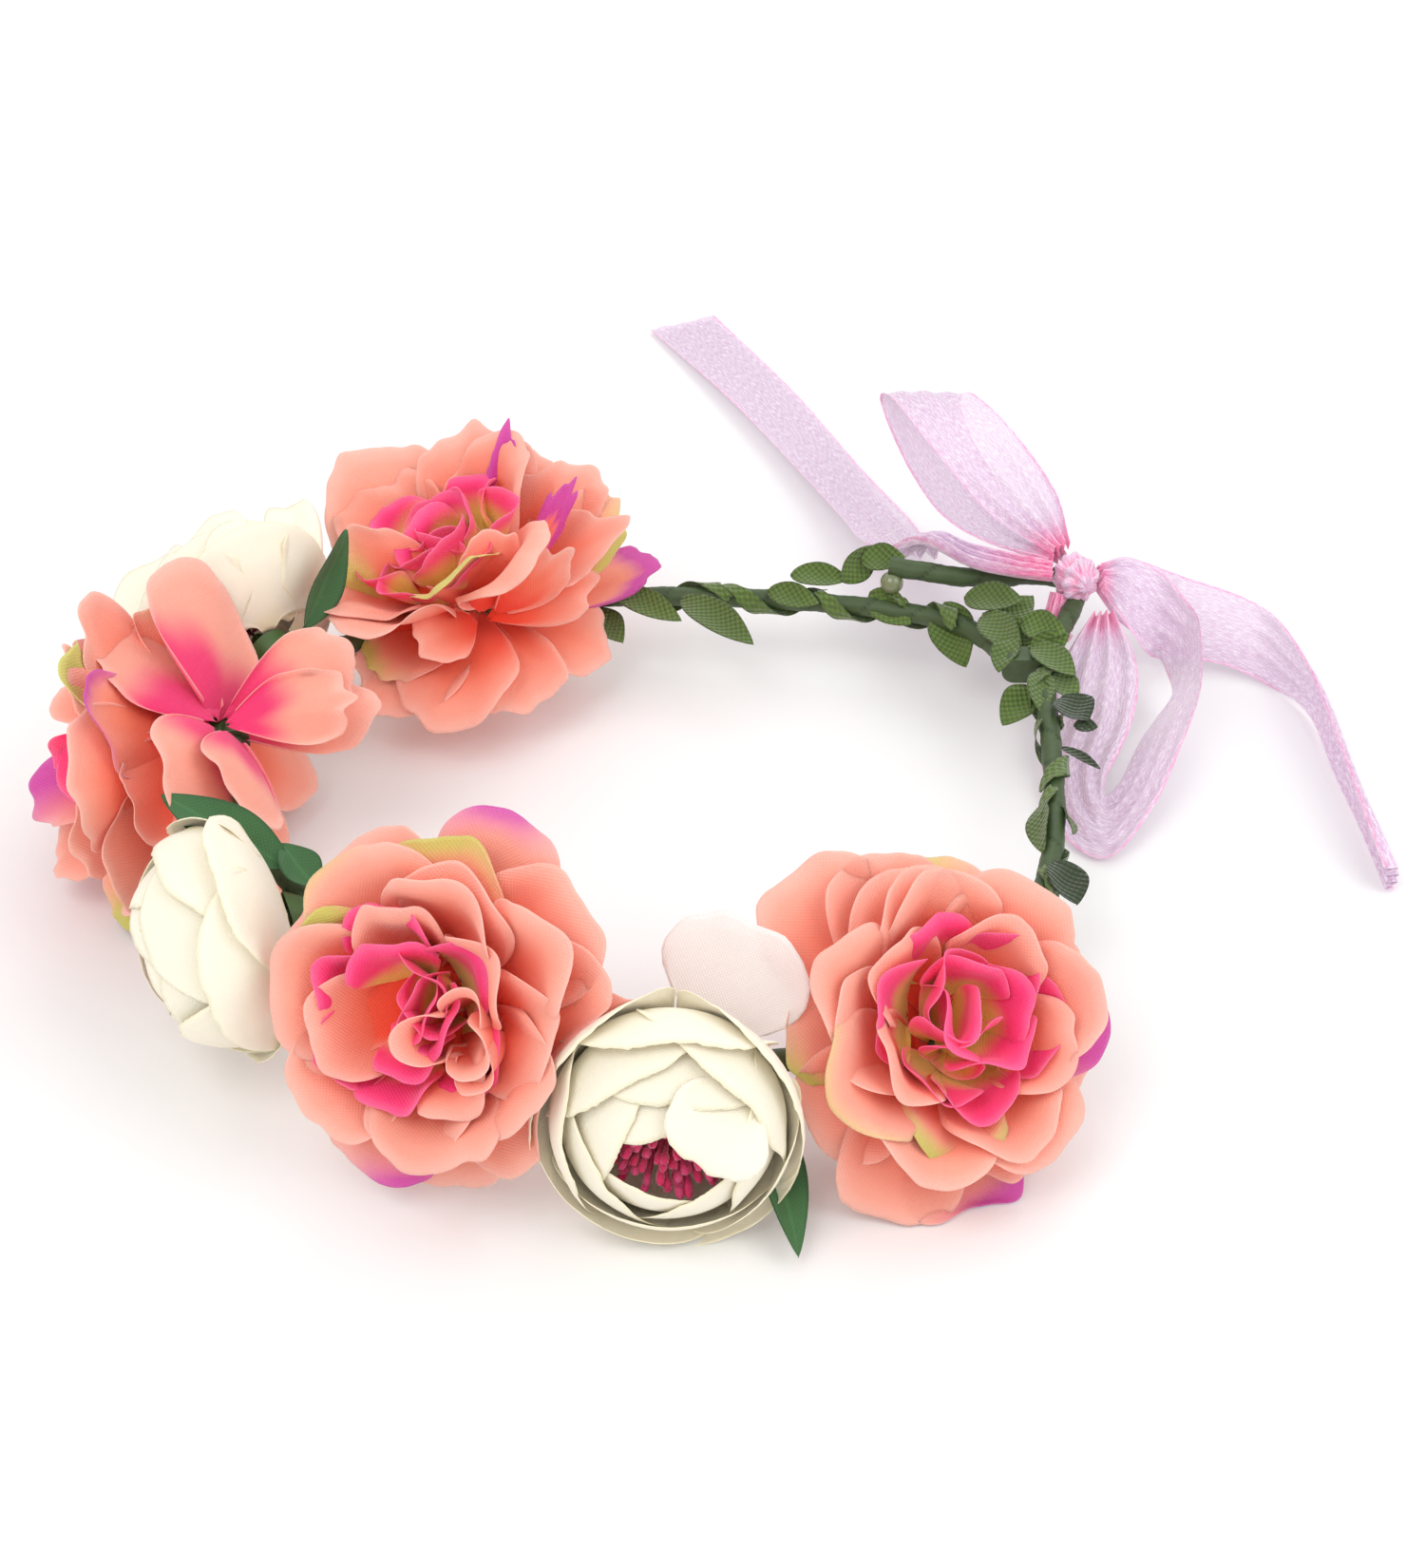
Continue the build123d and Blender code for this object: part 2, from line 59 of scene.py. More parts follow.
# ---- camera ----
CAMERA_ELEVATION = math.radians(38)
CAMERA_DISTANCE = 0.700
LENS, SENSOR_WIDTH = 69.4, 36
SHIFT_X, SHIFT_Y = 0.0424, 0.0109
camera = bpy.data.objects.new("camera", bpy.data.cameras.new("camera"))
camera.data.lens = LENS
camera.data.sensor_width = SENSOR_WIDTH
camera.data.shift_x = SHIFT_X
camera.data.shift_y = SHIFT_Y
camera.location = (0, -CAMERA_DISTANCE * math.cos(CAMERA_ELEVATION),
                   CAMERA_DISTANCE * math.sin(CAMERA_ELEVATION))
camera.rotation_euler = (math.pi / 2 - CAMERA_ELEVATION, 0, 0)
bpy.context.scene.collection.objects.link(camera)
bpy.context.scene.camera = camera


# ---- colour ----
def srgb(red, green, blue):
    """A colour in linear light from its 0 to 255 values."""
    shares = np.array([red, green, blue]) / 255
    return np.where(shares <= 0.04045, shares / 12.92, ((shares + 0.055) / 1.055) ** 2.4)


# the deep orange at a coral petal's root is painted shade where the petals crowd together
CORAL_ROOT_SHADE = srgb(255, 66, 40)
CORAL_MIDDLE = srgb(255, 114, 84)
CORAL_EDGE = srgb(255, 160, 140)
CORAL_PALE = srgb(255, 192, 178)
PINK_TIP = srgb(255, 54, 120)
PINK_ROOT = srgb(240, 50, 110)
PINK_PALE = srgb(255, 112, 158)
YELLOW_ROOT = srgb(240, 206, 104)
GREEN_TINT = srgb(196, 196, 92)
MAGENTA_TINT = srgb(196, 44, 158)
CREAM_BODY = srgb(251, 243, 222)
CREAM_EDGE = srgb(252, 243, 206)
# the yellower cream at a petal's root is painted shade deep between the petals
CREAM_ROOT_SHADE = srgb(248, 232, 170)
BLUSH = srgb(250, 242, 238)
STAMEN = srgb(240, 34, 104)
STAMEN_PALE = srgb(255, 112, 164)
TAPE_GREEN = srgb(66, 84, 50)
SATIN_GREEN = srgb(88, 112, 48)
LEAF_GREEN = srgb(62, 104, 62)
LEAF_DARK = srgb(50, 66, 40)
ORGANZA = srgb(216, 184, 214)
ORGANZA_EDGE = srgb(234, 160, 204)
ORGANZA_TIGHT = srgb(250, 136, 186)


def between(first, second, share):
    """A blend of two colours, for an array of shares."""
    share = np.clip(share, 0, 1)[..., None]
    return first * (1 - share) + second * share


def ramp(low, high, value):
    """0 below low, 1 above high, smooth between."""
    t = np.clip((value - low) / (high - low), 0, 1)
    return t * t * (3 - 2 * t)


# ---- materials ----
def shader_nodes(name):
    material = bpy.data.materials.new(name)
    material.use_nodes = True
    return material, material.node_tree.nodes, material.node_tree.links


def set_inputs(node, values):
    """Constants on a node's own sockets, by socket name."""
    for name, value in values.items():
        node.inputs[name].default_value = value


def attribute_node(nodes, name):
    node = nodes.new("ShaderNodeAttribute")
    node.attribute_name = name
    return node


def noise_height(nodes, links, scale, detail, vector=None):
    """Noise over a vector, or over the piece's own space."""
    noise = nodes.new("ShaderNodeTexNoise")
    set_inputs(noise, {"Scale": scale, "Detail": detail})
    if vector is None:
        vector = nodes.new("ShaderNodeTexCoord").outputs["Object"]
    links.new(vector, noise.inputs["Vector"])
    return noise.outputs["Fac"]


def math_node(nodes, links, operation, *inputs):
    node = nodes.new("ShaderNodeMath")
    node.operation = operation
    for slot, value in enumerate(inputs):
        if isinstance(value, (int, float)):
            node.inputs[slot].default_value = value
        else:
            links.new(value, node.inputs[slot])
    return node.outputs[0]


def cloth_position(nodes, links):
    """Where a point was on the flat cloth: across and along, in metres."""
    attribute = attribute_node(nodes, "cloth")
    split = nodes.new("ShaderNodeSeparateXYZ")
    links.new(attribute.outputs["Vector"], split.inputs[0])
    return attribute.outputs["Vector"], split.outputs[0], split.outputs[1]


def weave_height(nodes, links, thread):
    """Threads over and under each other, one thread wide by thread metres."""
    _, across, along = cloth_position(nodes, links)
    waves = [math_node(nodes, links, "SINE", math_node(nodes, links, "MULTIPLY", way, math.pi / thread))
             for way in (across, along)]
    return math_node(nodes, links, "MULTIPLY", *waves)


def tinted(nodes, links, variation, scale, weave=None, weave_share=0.0):
    """The piece's own tint with soft blotches, lighter on the threads and darker in the gaps of its weave as
    painted light and shade.
    """
    tint = attribute_node(nodes, "tint")
    blotches = noise_height(nodes, links, scale, 4)
    light = math_node(nodes, links, "MULTIPLY_ADD", blotches, variation, 1 - variation / 2)
    if weave is not None:
        # painted shade in the gaps of the weave, painted light on its threads
        light = math_node(nodes, links, "MULTIPLY_ADD", weave, weave_share, light)
    scaled = nodes.new("ShaderNodeVectorMath")
    scaled.operation = "SCALE"
    links.new(tint.outputs["Color"], scaled.inputs[0])
    links.new(light, scaled.inputs["Scale"])
    return scaled.outputs[0]


def bumped(nodes, links, height, strength, distance):
    """A surface normal that follows a height."""
    bump = nodes.new("ShaderNodeBump")
    set_inputs(bump, {"Strength": strength, "Distance": distance})
    links.new(height, bump.inputs["Height"])
    return bump.outputs[0]


def cloth_material(name, thread, roughness=0.7, sheen=0.2, bump=0.35, variation=0.10, glow=0.35,
                   weave_share=0.03):
    """Woven cloth with threads of a given width. Glow is its subsurface weight."""
    material, nodes, links = shader_nodes(name)
    shader = nodes["Principled BSDF"]
    weave = weave_height(nodes, links, thread)
    links.new(tinted(nodes, links, variation, 90, weave, weave_share), shader.inputs["Base Color"])
    links.new(bumped(nodes, links, weave, bump, thread * 0.3), shader.inputs["Normal"])
    set_inputs(shader, {"Roughness": roughness, "Sheen Weight": sheen, "Sheen Roughness": 0.5,
                        "Specular IOR Level": 0.25})
    if glow:
        set_inputs(shader, {"Subsurface Weight": glow, "Subsurface Radius": (1.0, 0.9, 0.85),
                            "Subsurface Scale": 0.0015})
    return material


def tape_material(name="florist_tape"):
    """Waxed crepe paper: fine noise for its crinkle, and a soft gloss."""
    material, nodes, links = shader_nodes(name)
    shader = nodes["Principled BSDF"]
    vector, _, _ = cloth_position(nodes, links)
    crinkle = noise_height(nodes, links, 1500, 3, vector)
    links.new(tinted(nodes, links, 0.35, 260), shader.inputs["Base Color"])
    links.new(bumped(nodes, links, crinkle, 0.35, 0.0002), shader.inputs["Normal"])
    set_inputs(shader, {"Roughness": 0.48, "Specular IOR Level": 0.4})
    return material


def node_material(name, colour, roughness, variation, scale, metallic=0.0, coat=0.0):
    """Finish of a carried-over CAD node: its colour with fine blotches, and a slightly uneven surface."""
    material, nodes, links = shader_nodes(name)
    shader = nodes["Principled BSDF"]
    blotches = noise_height(nodes, links, scale, 5)
    mixing = nodes.new("ShaderNodeMix")
    mixing.data_type = "RGBA"
    links.new(blotches, mixing.inputs["Factor"])
    mixing.inputs["A"].default_value = (*(np.array(colour) * (1 - variation)), 1)
    mixing.inputs["B"].default_value = (*np.clip(np.array(colour) * (1 + variation), 0, 1), 1)
    links.new(mixing.outputs["Result"], shader.inputs["Base Color"])
    links.new(bumped(nodes, links, blotches, 0.3, 0.0002), shader.inputs["Normal"])
    set_inputs(shader, {"Roughness": roughness, "Metallic": metallic, "Coat Weight": coat})
    return material


GLINT_STRETCH = (2400, 420, 1)      # noise cells per metre, across and along the ribbon
GLINT_GAIN, GLINT_OFFSET = 3.6, -1.45


def organza_material(name="organza"):
    """Sheer shimmering cloth with stretched glints, painted white into its colour as painted highlights. The
    tint's alpha says how much each place hides.
    """
    material, nodes, links = shader_nodes(name)
    shader = nodes["Principled BSDF"]
    vector, _, _ = cloth_position(nodes, links)
    stretch = nodes.new("ShaderNodeVectorMath")
    stretch.operation = "MULTIPLY"
    stretch.inputs[1].default_value = GLINT_STRETCH
    links.new(vector, stretch.inputs[0])
    glints = noise_height(nodes, links, 1.0, 2, stretch.outputs[0])
    painted_glint = math_node(nodes, links, "MULTIPLY_ADD", glints, GLINT_GAIN, GLINT_OFFSET)
    painted_glint = math_node(nodes, links, "MINIMUM", math_node(nodes, links, "MAXIMUM", painted_glint, 0.0), 1.0)
    threads = math_node(nodes, links, "MULTIPLY_ADD", weave_height(nodes, links, 0.0005), 0.3, 0.7)
    painted_glint = math_node(nodes, links, "MULTIPLY", painted_glint, threads)
    tint = attribute_node(nodes, "tint")
    mixing = nodes.new("ShaderNodeMix")
    mixing.data_type = "RGBA"
    mixing.inputs["B"].default_value = (1.0, 0.97, 1.0, 1)
    # the glints are painted highlights: white mixed into the base colour
    links.new(math_node(nodes, links, "MULTIPLY", painted_glint, 0.8), mixing.inputs["Factor"])
    links.new(tint.outputs["Color"], mixing.inputs["A"])
    links.new(mixing.outputs["Result"], shader.inputs["Base Color"])
    opacity = math_node(nodes, links, "MULTIPLY_ADD", painted_glint, 0.20, tint.outputs["Alpha"])
    links.new(opacity, shader.inputs["Alpha"])
    links.new(bumped(nodes, links, glints, 0.25, 0.0002), shader.inputs["Normal"])
    set_inputs(shader, {"Roughness": 0.35, "Sheen Weight": 0.5, "Sheen Roughness": 0.3})
    return material


MATERIALS = {
    "coral_cloth": cloth_material("coral_cloth", 0.00045),
    "heart_cloth": cloth_material("heart_cloth", 0.00045),
    "cream_cloth": cloth_material("cream_cloth", 0.00040, variation=0.05, glow=0.08, weave_share=0.02),
    "blush_cloth": cloth_material("blush_cloth", 0.00040, variation=0.05, weave_share=0.02),
    "stamen_plastic": cloth_material("stamen_plastic", 0.0006, roughness=0.85, sheen=0.5, variation=0.3),
    "florist_tape": tape_material(),
    "leaf_satin": cloth_material("leaf_satin", 0.00085, roughness=0.42, sheen=0.3, bump=0.9, variation=0.25,
                                 glow=0, weave_share=0.28),
    "leaf_cloth": cloth_material("leaf_cloth", 0.0005, roughness=0.65, sheen=0.15, variation=0.3, glow=0,
                                 weave_share=0.08),
    "organza": organza_material(),
    "calyx_plastic": node_material("calyx_plastic", srgb(70, 100, 48), 0.5, 0.2, 300),
    "steel_wire": node_material("steel_wire", (0.45, 0.45, 0.45), 0.35, 0.1, 900, metallic=1.0),
    "clear_glue": node_material("clear_glue", srgb(120, 128, 92), 0.12, 0.1, 200, coat=0.6),
    "bound_tape": node_material("bound_tape", TAPE_GREEN, 0.5, 0.3, 700),
}


# ---- making pieces ----
def make_piece(name, sheets, slot, body="crown", thickness=0.16, replaces=(), refine=0):
    """One object from grids of points. Each sheet is (points, tints, cloth), rows by columns, in mm."""
    points, tints, cloths, faces, start = [], [], [], [], 0
    for grid, tint, cloth in sheets:
        rows, columns = grid.shape[:2]
        points.append(grid.reshape(-1, 3))
        tints.append(np.concatenate([tint[..., :3], tint[..., 3:] if tint.shape[-1] == 4
                                     else np.ones((rows, columns, 1))], axis=-1).reshape(-1, 4))
        cloths.append(cloth.reshape(-1, 2))
        index = start + np.arange(rows * columns).reshape(rows, columns)
        quads = np.stack([index[:-1, :-1], index[:-1, 1:], index[1:, 1:], index[1:, :-1]], axis=-1)
        faces.extend(quads.reshape(-1, 4).tolist())
        start += rows * columns
    mesh = bpy.data.meshes.new(name)
    mesh.from_pydata((np.concatenate(points) * MM).tolist(), [], faces)
    colour = mesh.attributes.new("tint", "FLOAT_COLOR", "POINT")
    colour.data.foreach_set("color", np.concatenate(tints).astype(np.float32).ravel())
    flat = np.concatenate(cloths) * MM
    cloth = mesh.attributes.new("cloth", "FLOAT_VECTOR", "POINT")
    cloth.data.foreach_set("vector", np.column_stack([flat, np.zeros(len(flat))]).astype(np.float32).ravel())
    mesh.polygons.foreach_set("use_smooth", [True] * len(mesh.polygons))
    mesh.materials.append(MATERIALS[slot])
    piece = bpy.data.objects.new(name, mesh)
    bpy.context.scene.collection.objects.link(piece)
    if refine:
        rounding = piece.modifiers.new("rounding", "SUBSURF")
        rounding.levels = rounding.render_levels = refine
    if thickness:
        solid = piece.modifiers.new("thickness", "SOLIDIFY")
        solid.thickness = thickness * MM
        solid.offset = 0
    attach(piece, body)
    if replaces:
        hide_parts(*replaces)
    return piece


def unit(vector):
    return np.array(vector, float) / np.linalg.norm(vector)


def flower_axes(facing, lobe=(0, 0, -1)):
    """A flower's axes as rows: towards its lobe, the way round, and out of the bloom."""
    out = unit(facing)
    side = unit(np.array(lobe, float) - out * np.dot(lobe, out))
    return np.array([side, np.cross(out, side), out])


# ---- flowers ----
FLOWERS = {
    "coral_back": dict(at=(-38, 87, -4), facing=(-0.28, -0.25, 0.93), lobe=(-0.35, -0.75, -1)),
    "coral_left": dict(at=(-95, 8, 15), facing=(-0.81, 0.12, -0.57)),
    "coral_front_left": dict(at=(-36, -78, 10.5), facing=(-0.36, -0.80, 0.48)),
    "coral_front_right": dict(at=(57, -75, -5), facing=(0.31, -0.65, 0.69)),
    "cream_back_left": dict(at=(-88, 46.5, 6), facing=(-0.62, 0.78, 0.08)),
    "cream_left_front": dict(at=(-71, -52.5, 11.5), facing=(-0.94, -0.32, -0.12)),
    "cream_front": dict(at=(5, -89, -0.8), facing=(-0.02, -0.98, 0.18)),
}
CREAM_CENTRE = 20.0        # height of a cream flower's widest place above its foot
CREAM_RADIUS = 26.5
CREAM_HALF_HEIGHT = 17.5
CREAM_DEPTH = 13.5         # from a cream flower's widest place down to its foot
CREAM_CLEARANCE = 1.2
PETAL_ABOVE_FLOOR = 0.3


def clear_of_neighbours(points):
    """Petals press against a cream flower beside them and rest on the table, instead of passing through."""
    for name, spec in FLOWERS.items():
        if name.startswith("cream"):
            axes = flower_axes(spec["facing"])
            local = (points - np.array(spec["at"])) @ axes.T - np.array([0, 0, CREAM_CENTRE])
            reach = CREAM_RADIUS + CREAM_CLEARANCE
            size = np.array([reach, reach, CREAM_HALF_HEIGHT])
            depth = np.linalg.norm(local / size, axis=-1, keepdims=True)
            pushed = np.where(depth < 1, local / np.maximum(depth, 0.25), local)
            points = (pushed + np.array([0, 0, CREAM_CENTRE])) @ axes + np.array(spec["at"])
    points[..., 2] = np.maximum(points[..., 2], FLOOR + PETAL_ABOVE_FLOOR)
    return points


PETAL_ROWS, PETAL_COLUMNS = 17, 31


def edge_waves(t):
    """A soft random waviness along a petal's rim."""
    return sum(RANDOM.normal(0, 1 / k) * np.sin(k * math.pi * t + RANDOM.uniform(0, 6)) for k in range(2, 7))


def petal(length, spread, start, end, cup=0.5, roll=0.3, ruffle=0.8, fold=0.0, ragged=0.35, blunt=3.2,
          twist=0.0, point=0.0):
    """A cloth petal that leaves the origin along +X and rises to +Z. Angles are in degrees, cup and roll in
    radians. Gives its points, how far along, how near the edge and how far across each is, and its place on
    the flat cloth."""
    t = np.linspace(-1, 1, PETAL_COLUMNS)[None, :]
    s = (np.linspace(0.02, 1, PETAL_ROWS) ** 0.8)[:, None]
    turn = math.radians(spread) * t
    waves = edge_waves(t)
    fray = np.convolve(RANDOM.normal(0, 1.2, PETAL_COLUMNS), (0.2, 0.6, 0.2), "same")[None, :]
    outline = np.sqrt(np.clip(1 - np.abs(t) ** blunt, 0.03, 1))
    reach = length * outline * (1 + point * ((1 - np.abs(t)) ** 2 - 0.3))
    reach = reach + ragged * (1.6 * waves + fray) * (1 - t**4)
    rho = s * reach
    along, across = rho * np.cos(turn), rho * np.sin(turn)
    u = along / length
    fine = np.linspace(0, 1.2, 121)
    slope = np.radians(start + (end - start) * fine**1.3) - roll * ramp(0.7, 1.05, fine)
    out = np.concatenate([[0], np.cumsum(np.cos(slope[:-1]) * 0.01)])
    up = np.concatenate([[0], np.cumsum(np.sin(slope[:-1]) * 0.01)])
    angle = np.interp(u, fine, slope)
    radius = 0.5 * length / max(cup, 0.02)
    bend = across / radius
    lift = radius * (1 - np.cos(bend)) + fold * np.abs(across)
    lift = lift + ruffle * s**3 * np.sin(2.4 * math.pi * t + RANDOM.uniform(0, 6))
    lift = lift - roll * 6 * ramp(0.82, 1.0, s) ** 2
    sideways = radius * np.sin(bend)
    swing = twist * u
    side = sideways * np.cos(swing) - lift * np.sin(swing)
    lift = sideways * np.sin(swing) + lift * np.cos(swing)
    points = np.stack([np.interp(u, fine, out) * length - np.sin(angle) * lift, side,
                       np.interp(u, fine, up) * length + np.cos(angle) * lift], axis=-1)
    return points, u, s * np.ones_like(t), t * np.ones_like(s), np.stack([across, along], axis=-1)


def turned(points, azimuth):
    """Points turned round +Z by degrees."""
    a = math.radians(azimuth)
    x, y, z = points[..., 0], points[..., 1], points[..., 2]
    return np.stack([x * math.cos(a) - y * math.sin(a), x * math.sin(a) + y * math.cos(a), z], axis=-1)


def petal_between(base, tip, faces, spread, bow, **shape):
    """A petal from base to tip in the crown's frame, hollow side to faces. Bow is its arch, in degrees."""
    base, tip = np.array(base, float), np.array(tip, float)
    length = np.linalg.norm(tip - base)
    along = (tip - base) / length
    normal = unit(np.array(faces, float) - along * np.dot(faces, along))
    axes = np.array([along, np.cross(normal, along), normal])
    points, u, s, t, cloth = petal(length, spread, bow, -bow, **shape)
    return points @ axes + base, u, s, t, cloth


TINTS = {"green": GREEN_TINT, "magenta": MAGENTA_TINT}


def marked(colour, s, t, mark):
    """A petal's colour with its dyed tip. A mark is (colour, place across, width, where it starts)."""
    if mark is None:
        return colour
    name, place, width, start = mark
    share = ramp(start, start + 0.22, s) * np.exp(-(((t - place) / width) ** 2))
    return between(colour, TINTS[name], 0.92 * np.clip(share * 1.35, 0, 1))


def coral_tint(u, s, t, mark=None):
    """Deep orange at the root, which is painted shade, then coral, and a paler edge."""
    shade = RANDOM.uniform(-0.12, 0.12)
    colour = between(CORAL_ROOT_SHADE, CORAL_MIDDLE, ramp(0.1, 0.62 + shade, u))
    colour = between(colour, CORAL_EDGE, ramp(0.45 + shade, 1.0, s))
    colour = between(colour, CORAL_PALE, 0.5 * ramp(0.9, 1.0, s))
    return marked(colour, s, t, mark)


def magenta_root_tint(u, s, t, mark=None):
    """The outermost petals of a peony, seen from behind, are magenta at the root."""
    colour = between(PINK_ROOT, CORAL_EDGE, ramp(0.30, 0.66, u + 0.14 * t + 0.05 * np.sin(7 * t)))
    colour = between(colour, CORAL_PALE, 0.5 * ramp(0.85, 1.0, s))
    return marked(colour, s, t, mark)


def heart_tint(u, s, t, pink_from=0.28):
    """Yellow at the root, pink above it, and a paler edge."""
    colour = between(YELLOW_ROOT, PINK_TIP, ramp(pink_from, pink_from + 0.34, u + 0.05 * np.sin(5 * t)))
    return between(colour, PINK_PALE, 0.6 * ramp(0.88, 1.0, s))


def place_in_flower(points, spec, foot, azimuth, offset=(0, 0)):
    """From a petal's own frame to the crown's: foot is its distance from the axis and its height."""
    points = turned(points + np.array([foot[0], 0, foot[1]]), azimuth)
    points = points + np.array([*offset, 0])
    return points @ flower_axes(spec["facing"], spec.get("lobe", (0, 0, -1))) + np.array(spec["at"])


def wobble(amount):
    return RANDOM.uniform(-amount, amount)


# Outer petals of the peonies: way round, length, spread, slope at the tip, mark.
# Way round is 0 towards the flower's lobe, which is down where FLOWERS names none.
# The back and left peonies have more of them in OUTER_BY_HAND.
CORAL_OUTER = {
    "coral_front_left": [
        (85, 44, 34, -5, None), (12, 40, 38, 15, None), (347, 42, 36, 20, ("magenta", 0.35, 0.4, 0.80)),
        (172, 42, 36, 12, ("magenta", 0.15, 0.4, 0.82)), (322, 39, 40, 22, None), (225, 39, 44, 18, None),
        (290, 38, 42, 30, None), (262, 38, 42, 32, None), (51, 39, 42, 18, None), (138, 39, 44, 16, None),
        (104, 38, 46, 26, None), (190, 36, 44, 34, ("green", 0.0, 0.55, 0.80)),
    ],
    "coral_front_right": [
        (209, 46, 38, 3, None), (186, 40, 40, 10, None), (160, 38, 44, 14, ("green", 0.25, 0.35, 0.78)),
        (256, 34, 34, 18, ("green", 0.5, 0.4, 0.8)), (130, 37, 42, 16, None), (290, 36, 40, 10, None),
        (325, 42, 38, 0, None), (352, 42, 36, -6, ("magenta", 0.4, 0.45, 0.72)), (104, 37, 46, 20, None),
        (72, 36, 42, 22, None), (25, 36, 44, 16, None), (180, 36, 48, 30, None),
    ],
    "coral_left": [
        (20, 39, 40, 12, None), (62, 40, 40, 12, None), (100, 38, 40, 12, None),
        (140, 39, 40, 8, ("magenta", 0.2, 0.6, 0.8)), (185, 40, 40, 12, None),
        (225, 36, 40, 8, ("green", 0.1, 0.4, 0.85)), (270, 39, 40, 14, None), (315, 39, 40, 10, None),
    ],
    "coral_back": [
        (120, 36, 38, 20, None), (190, 36, 38, 24, None), (255, 36, 38, 24, None), (330, 36, 38, 10, None),
    ],
}
CORAL_SHAPES = {
    # slope at the root, roll, cup, ragged and point of the petals
    "coral_front_left": (6, 0.30, 0.45, 0.35, 0.0),
    "coral_front_right": (6, 0.30, 0.45, 0.35, 0.0),
    "coral_left": (2, 0.30, 0.35, 0.9, 0.18),
    "coral_back": (14, 0.20, 0.35, 1.1, 0.22),
}
# where a peony's petals inside the outer ones stand, when the bloom is pushed over
PUSHED = {
    "coral_back": dict(at=(-42, 80, -2), facing=(-0.39, -0.13, 0.91)),
    "coral_left": dict(at=(-98, 8, 9), facing=(-0.96, -0.16, -0.08)),
}
HEART_SHIFT = {
    "coral_front_left": (1, -5), "coral_front_right": (-2, 3), "coral_left": (0, 0), "coral_back": (0, 0),
}
MIDDLE_MARKS = {
    "coral_front_left": {2: ("green", 0.3, 0.3, 0.90)},
    "coral_front_right": {4: ("magenta", 0.0, 0.8, 0.62), 6: ("green", 0.0, 1.2, 0.9)},
    "coral_left": {2: ("magenta", 0.0, 0.8, 0.75), 5: ("green", 0.0, 0.5, 0.7)},
    "coral_back": {4: ("green", 0.0, 0.8, 0.7)},
}
INNER_MARKS = {
    "coral_front_left": {3: ("green", -0.2, 0.5, 0.7)}, "coral_front_right": {4: ("green", 0.0, 0.8, 0.8)},
    "coral_left": {}, "coral_back": {5: ("green", 0.0, 0.7, 0.75)},
}

# Petals given one by one: root, tip, side the hollow faces ("back" shows the petal's back), spread, bow, mark
TO_VIEW = (0, -0.7, 0.7)
TO_HEART = (-0.3, 0.8, 0.1)
UPWARD = (0, -0.3, 1)
OUTER_BY_HAND = {
    "coral_back": [
        ((-43, 80, 2), (-74, 104, 26), TO_VIEW, 42, -18, None),
        ((-41, 84, 4), (-43, 107, 34), TO_VIEW, 46, -15, None),
        ((-36, 84, 4), (-17, 100, 26), TO_VIEW, 40, -12, None),
        ((-34, 76, 4), (-10, 94, 20), TO_VIEW, 32, -14, ("green", -0.6, 0.5, 0.72)),
        ((-33, 74, 2), (0, 92, 6), TO_VIEW, 18, -10, ("magenta", 0.0, 1.5, 0.74)),
        ((-40, 80, -1), (-12, 72, -9), UPWARD, 44, 12, None),
        ((-42, 80, -1), (-50, 44, -9), UPWARD, 46, 16, None),
        ((-42, 76, 0), (-66, 57, -1), UPWARD, 40, 10, ("green", -0.2, 0.4, 0.8)),
        ((-45, 68, 0), (-78, 76, 10), TO_VIEW, 34, 10, None),
        ((-41, 80, -2), (-30, 52, -10), UPWARD, 44, 12, None),
        ((-43, 79, -2), (-65, 50, -8), UPWARD, 42, 12, None),
    ],
    "coral_left": [
        ((-99, 6, 18), (-106, 42, 33), "back", 54, 12, None),
        ((-98, 5, 19), (-124, 20, 32), "back", 60, 14, None),
        ((-99, 3, 18), (-126, 8, 20), "back", 50, 22, ("green", 0.6, 0.4, 0.75)),
        ((-99, 3, 17), (-118, -12, 8), "back", 50, 20, None),
        ((-98, 1, 20), (-102, -31, 20), "back", 60, 20, None),
        ((-95, 0, 20), (-88, -27, 17), "back", 54, 16, None),
        ((-97, 4, 20), (-70, 20, 27), "back", 34, 18, None),
        ((-96, 1, 21), (-70, 9, 22), "back", 38, 16, None),
        ((-96, 4, 16), (-66, 15, 15), "back", 32, 8, None),
        ((-112, 6, 4), (-141, 0, 0), UPWARD, 42, 14, ("magenta", -0.5, 0.7, 0.45)),
        ((-112, 16, 8), (-138, 33, 9), UPWARD, 36, 12, None),
        ((-110, 0, -2), (-137, -5, -14), UPWARD, 30, 10, None),
        ((-106, -4, -6), (-121, -19, -20), UPWARD, 38, 12, ("green", 0.2, 0.5, 0.7)),
    ],
}
MIDDLE_BY_HAND = {
    "coral_back": [
        ((-39, 81, 10), (-35, 99, 37), TO_VIEW, 13, -8, ("magenta", 0.0, 2.0, 0.55)),
        ((-34, 73, 8), (-20, 84, 31), TO_VIEW, 13, -10, ("magenta", 0.0, 2.0, 0.60)),
        ((-46, 72, 4), (-72, 76, 22), TO_HEART, 36, -20, ("green", -0.5, 0.35, 0.62)),
        ((-41, 68, 6), (-38, 67, 30), TO_HEART, 42, -24, None),
        ((-38, 68, 6), (-22, 70, 24), TO_HEART, 38, -20, None),
        ((-40, 68, 4), (-15, 76, 11), TO_VIEW, 34, 8, None),
        ((-42, 70, 3), (-54, 51, 9), TO_VIEW, 38, 4, None),
    ],
}


# the heart of the left peony, seen in a gap between its petals
HEART_BY_HAND = {
    "coral_left": [
        ((-129, 12, 19), (-123, -20, 18), (-0.6, -0.5, 0.6), 22, 10),
        ((-122, 6, 15), (-134, -6, 15), (-0.4, -0.6, 0.7), 34, 8),
    ],
}


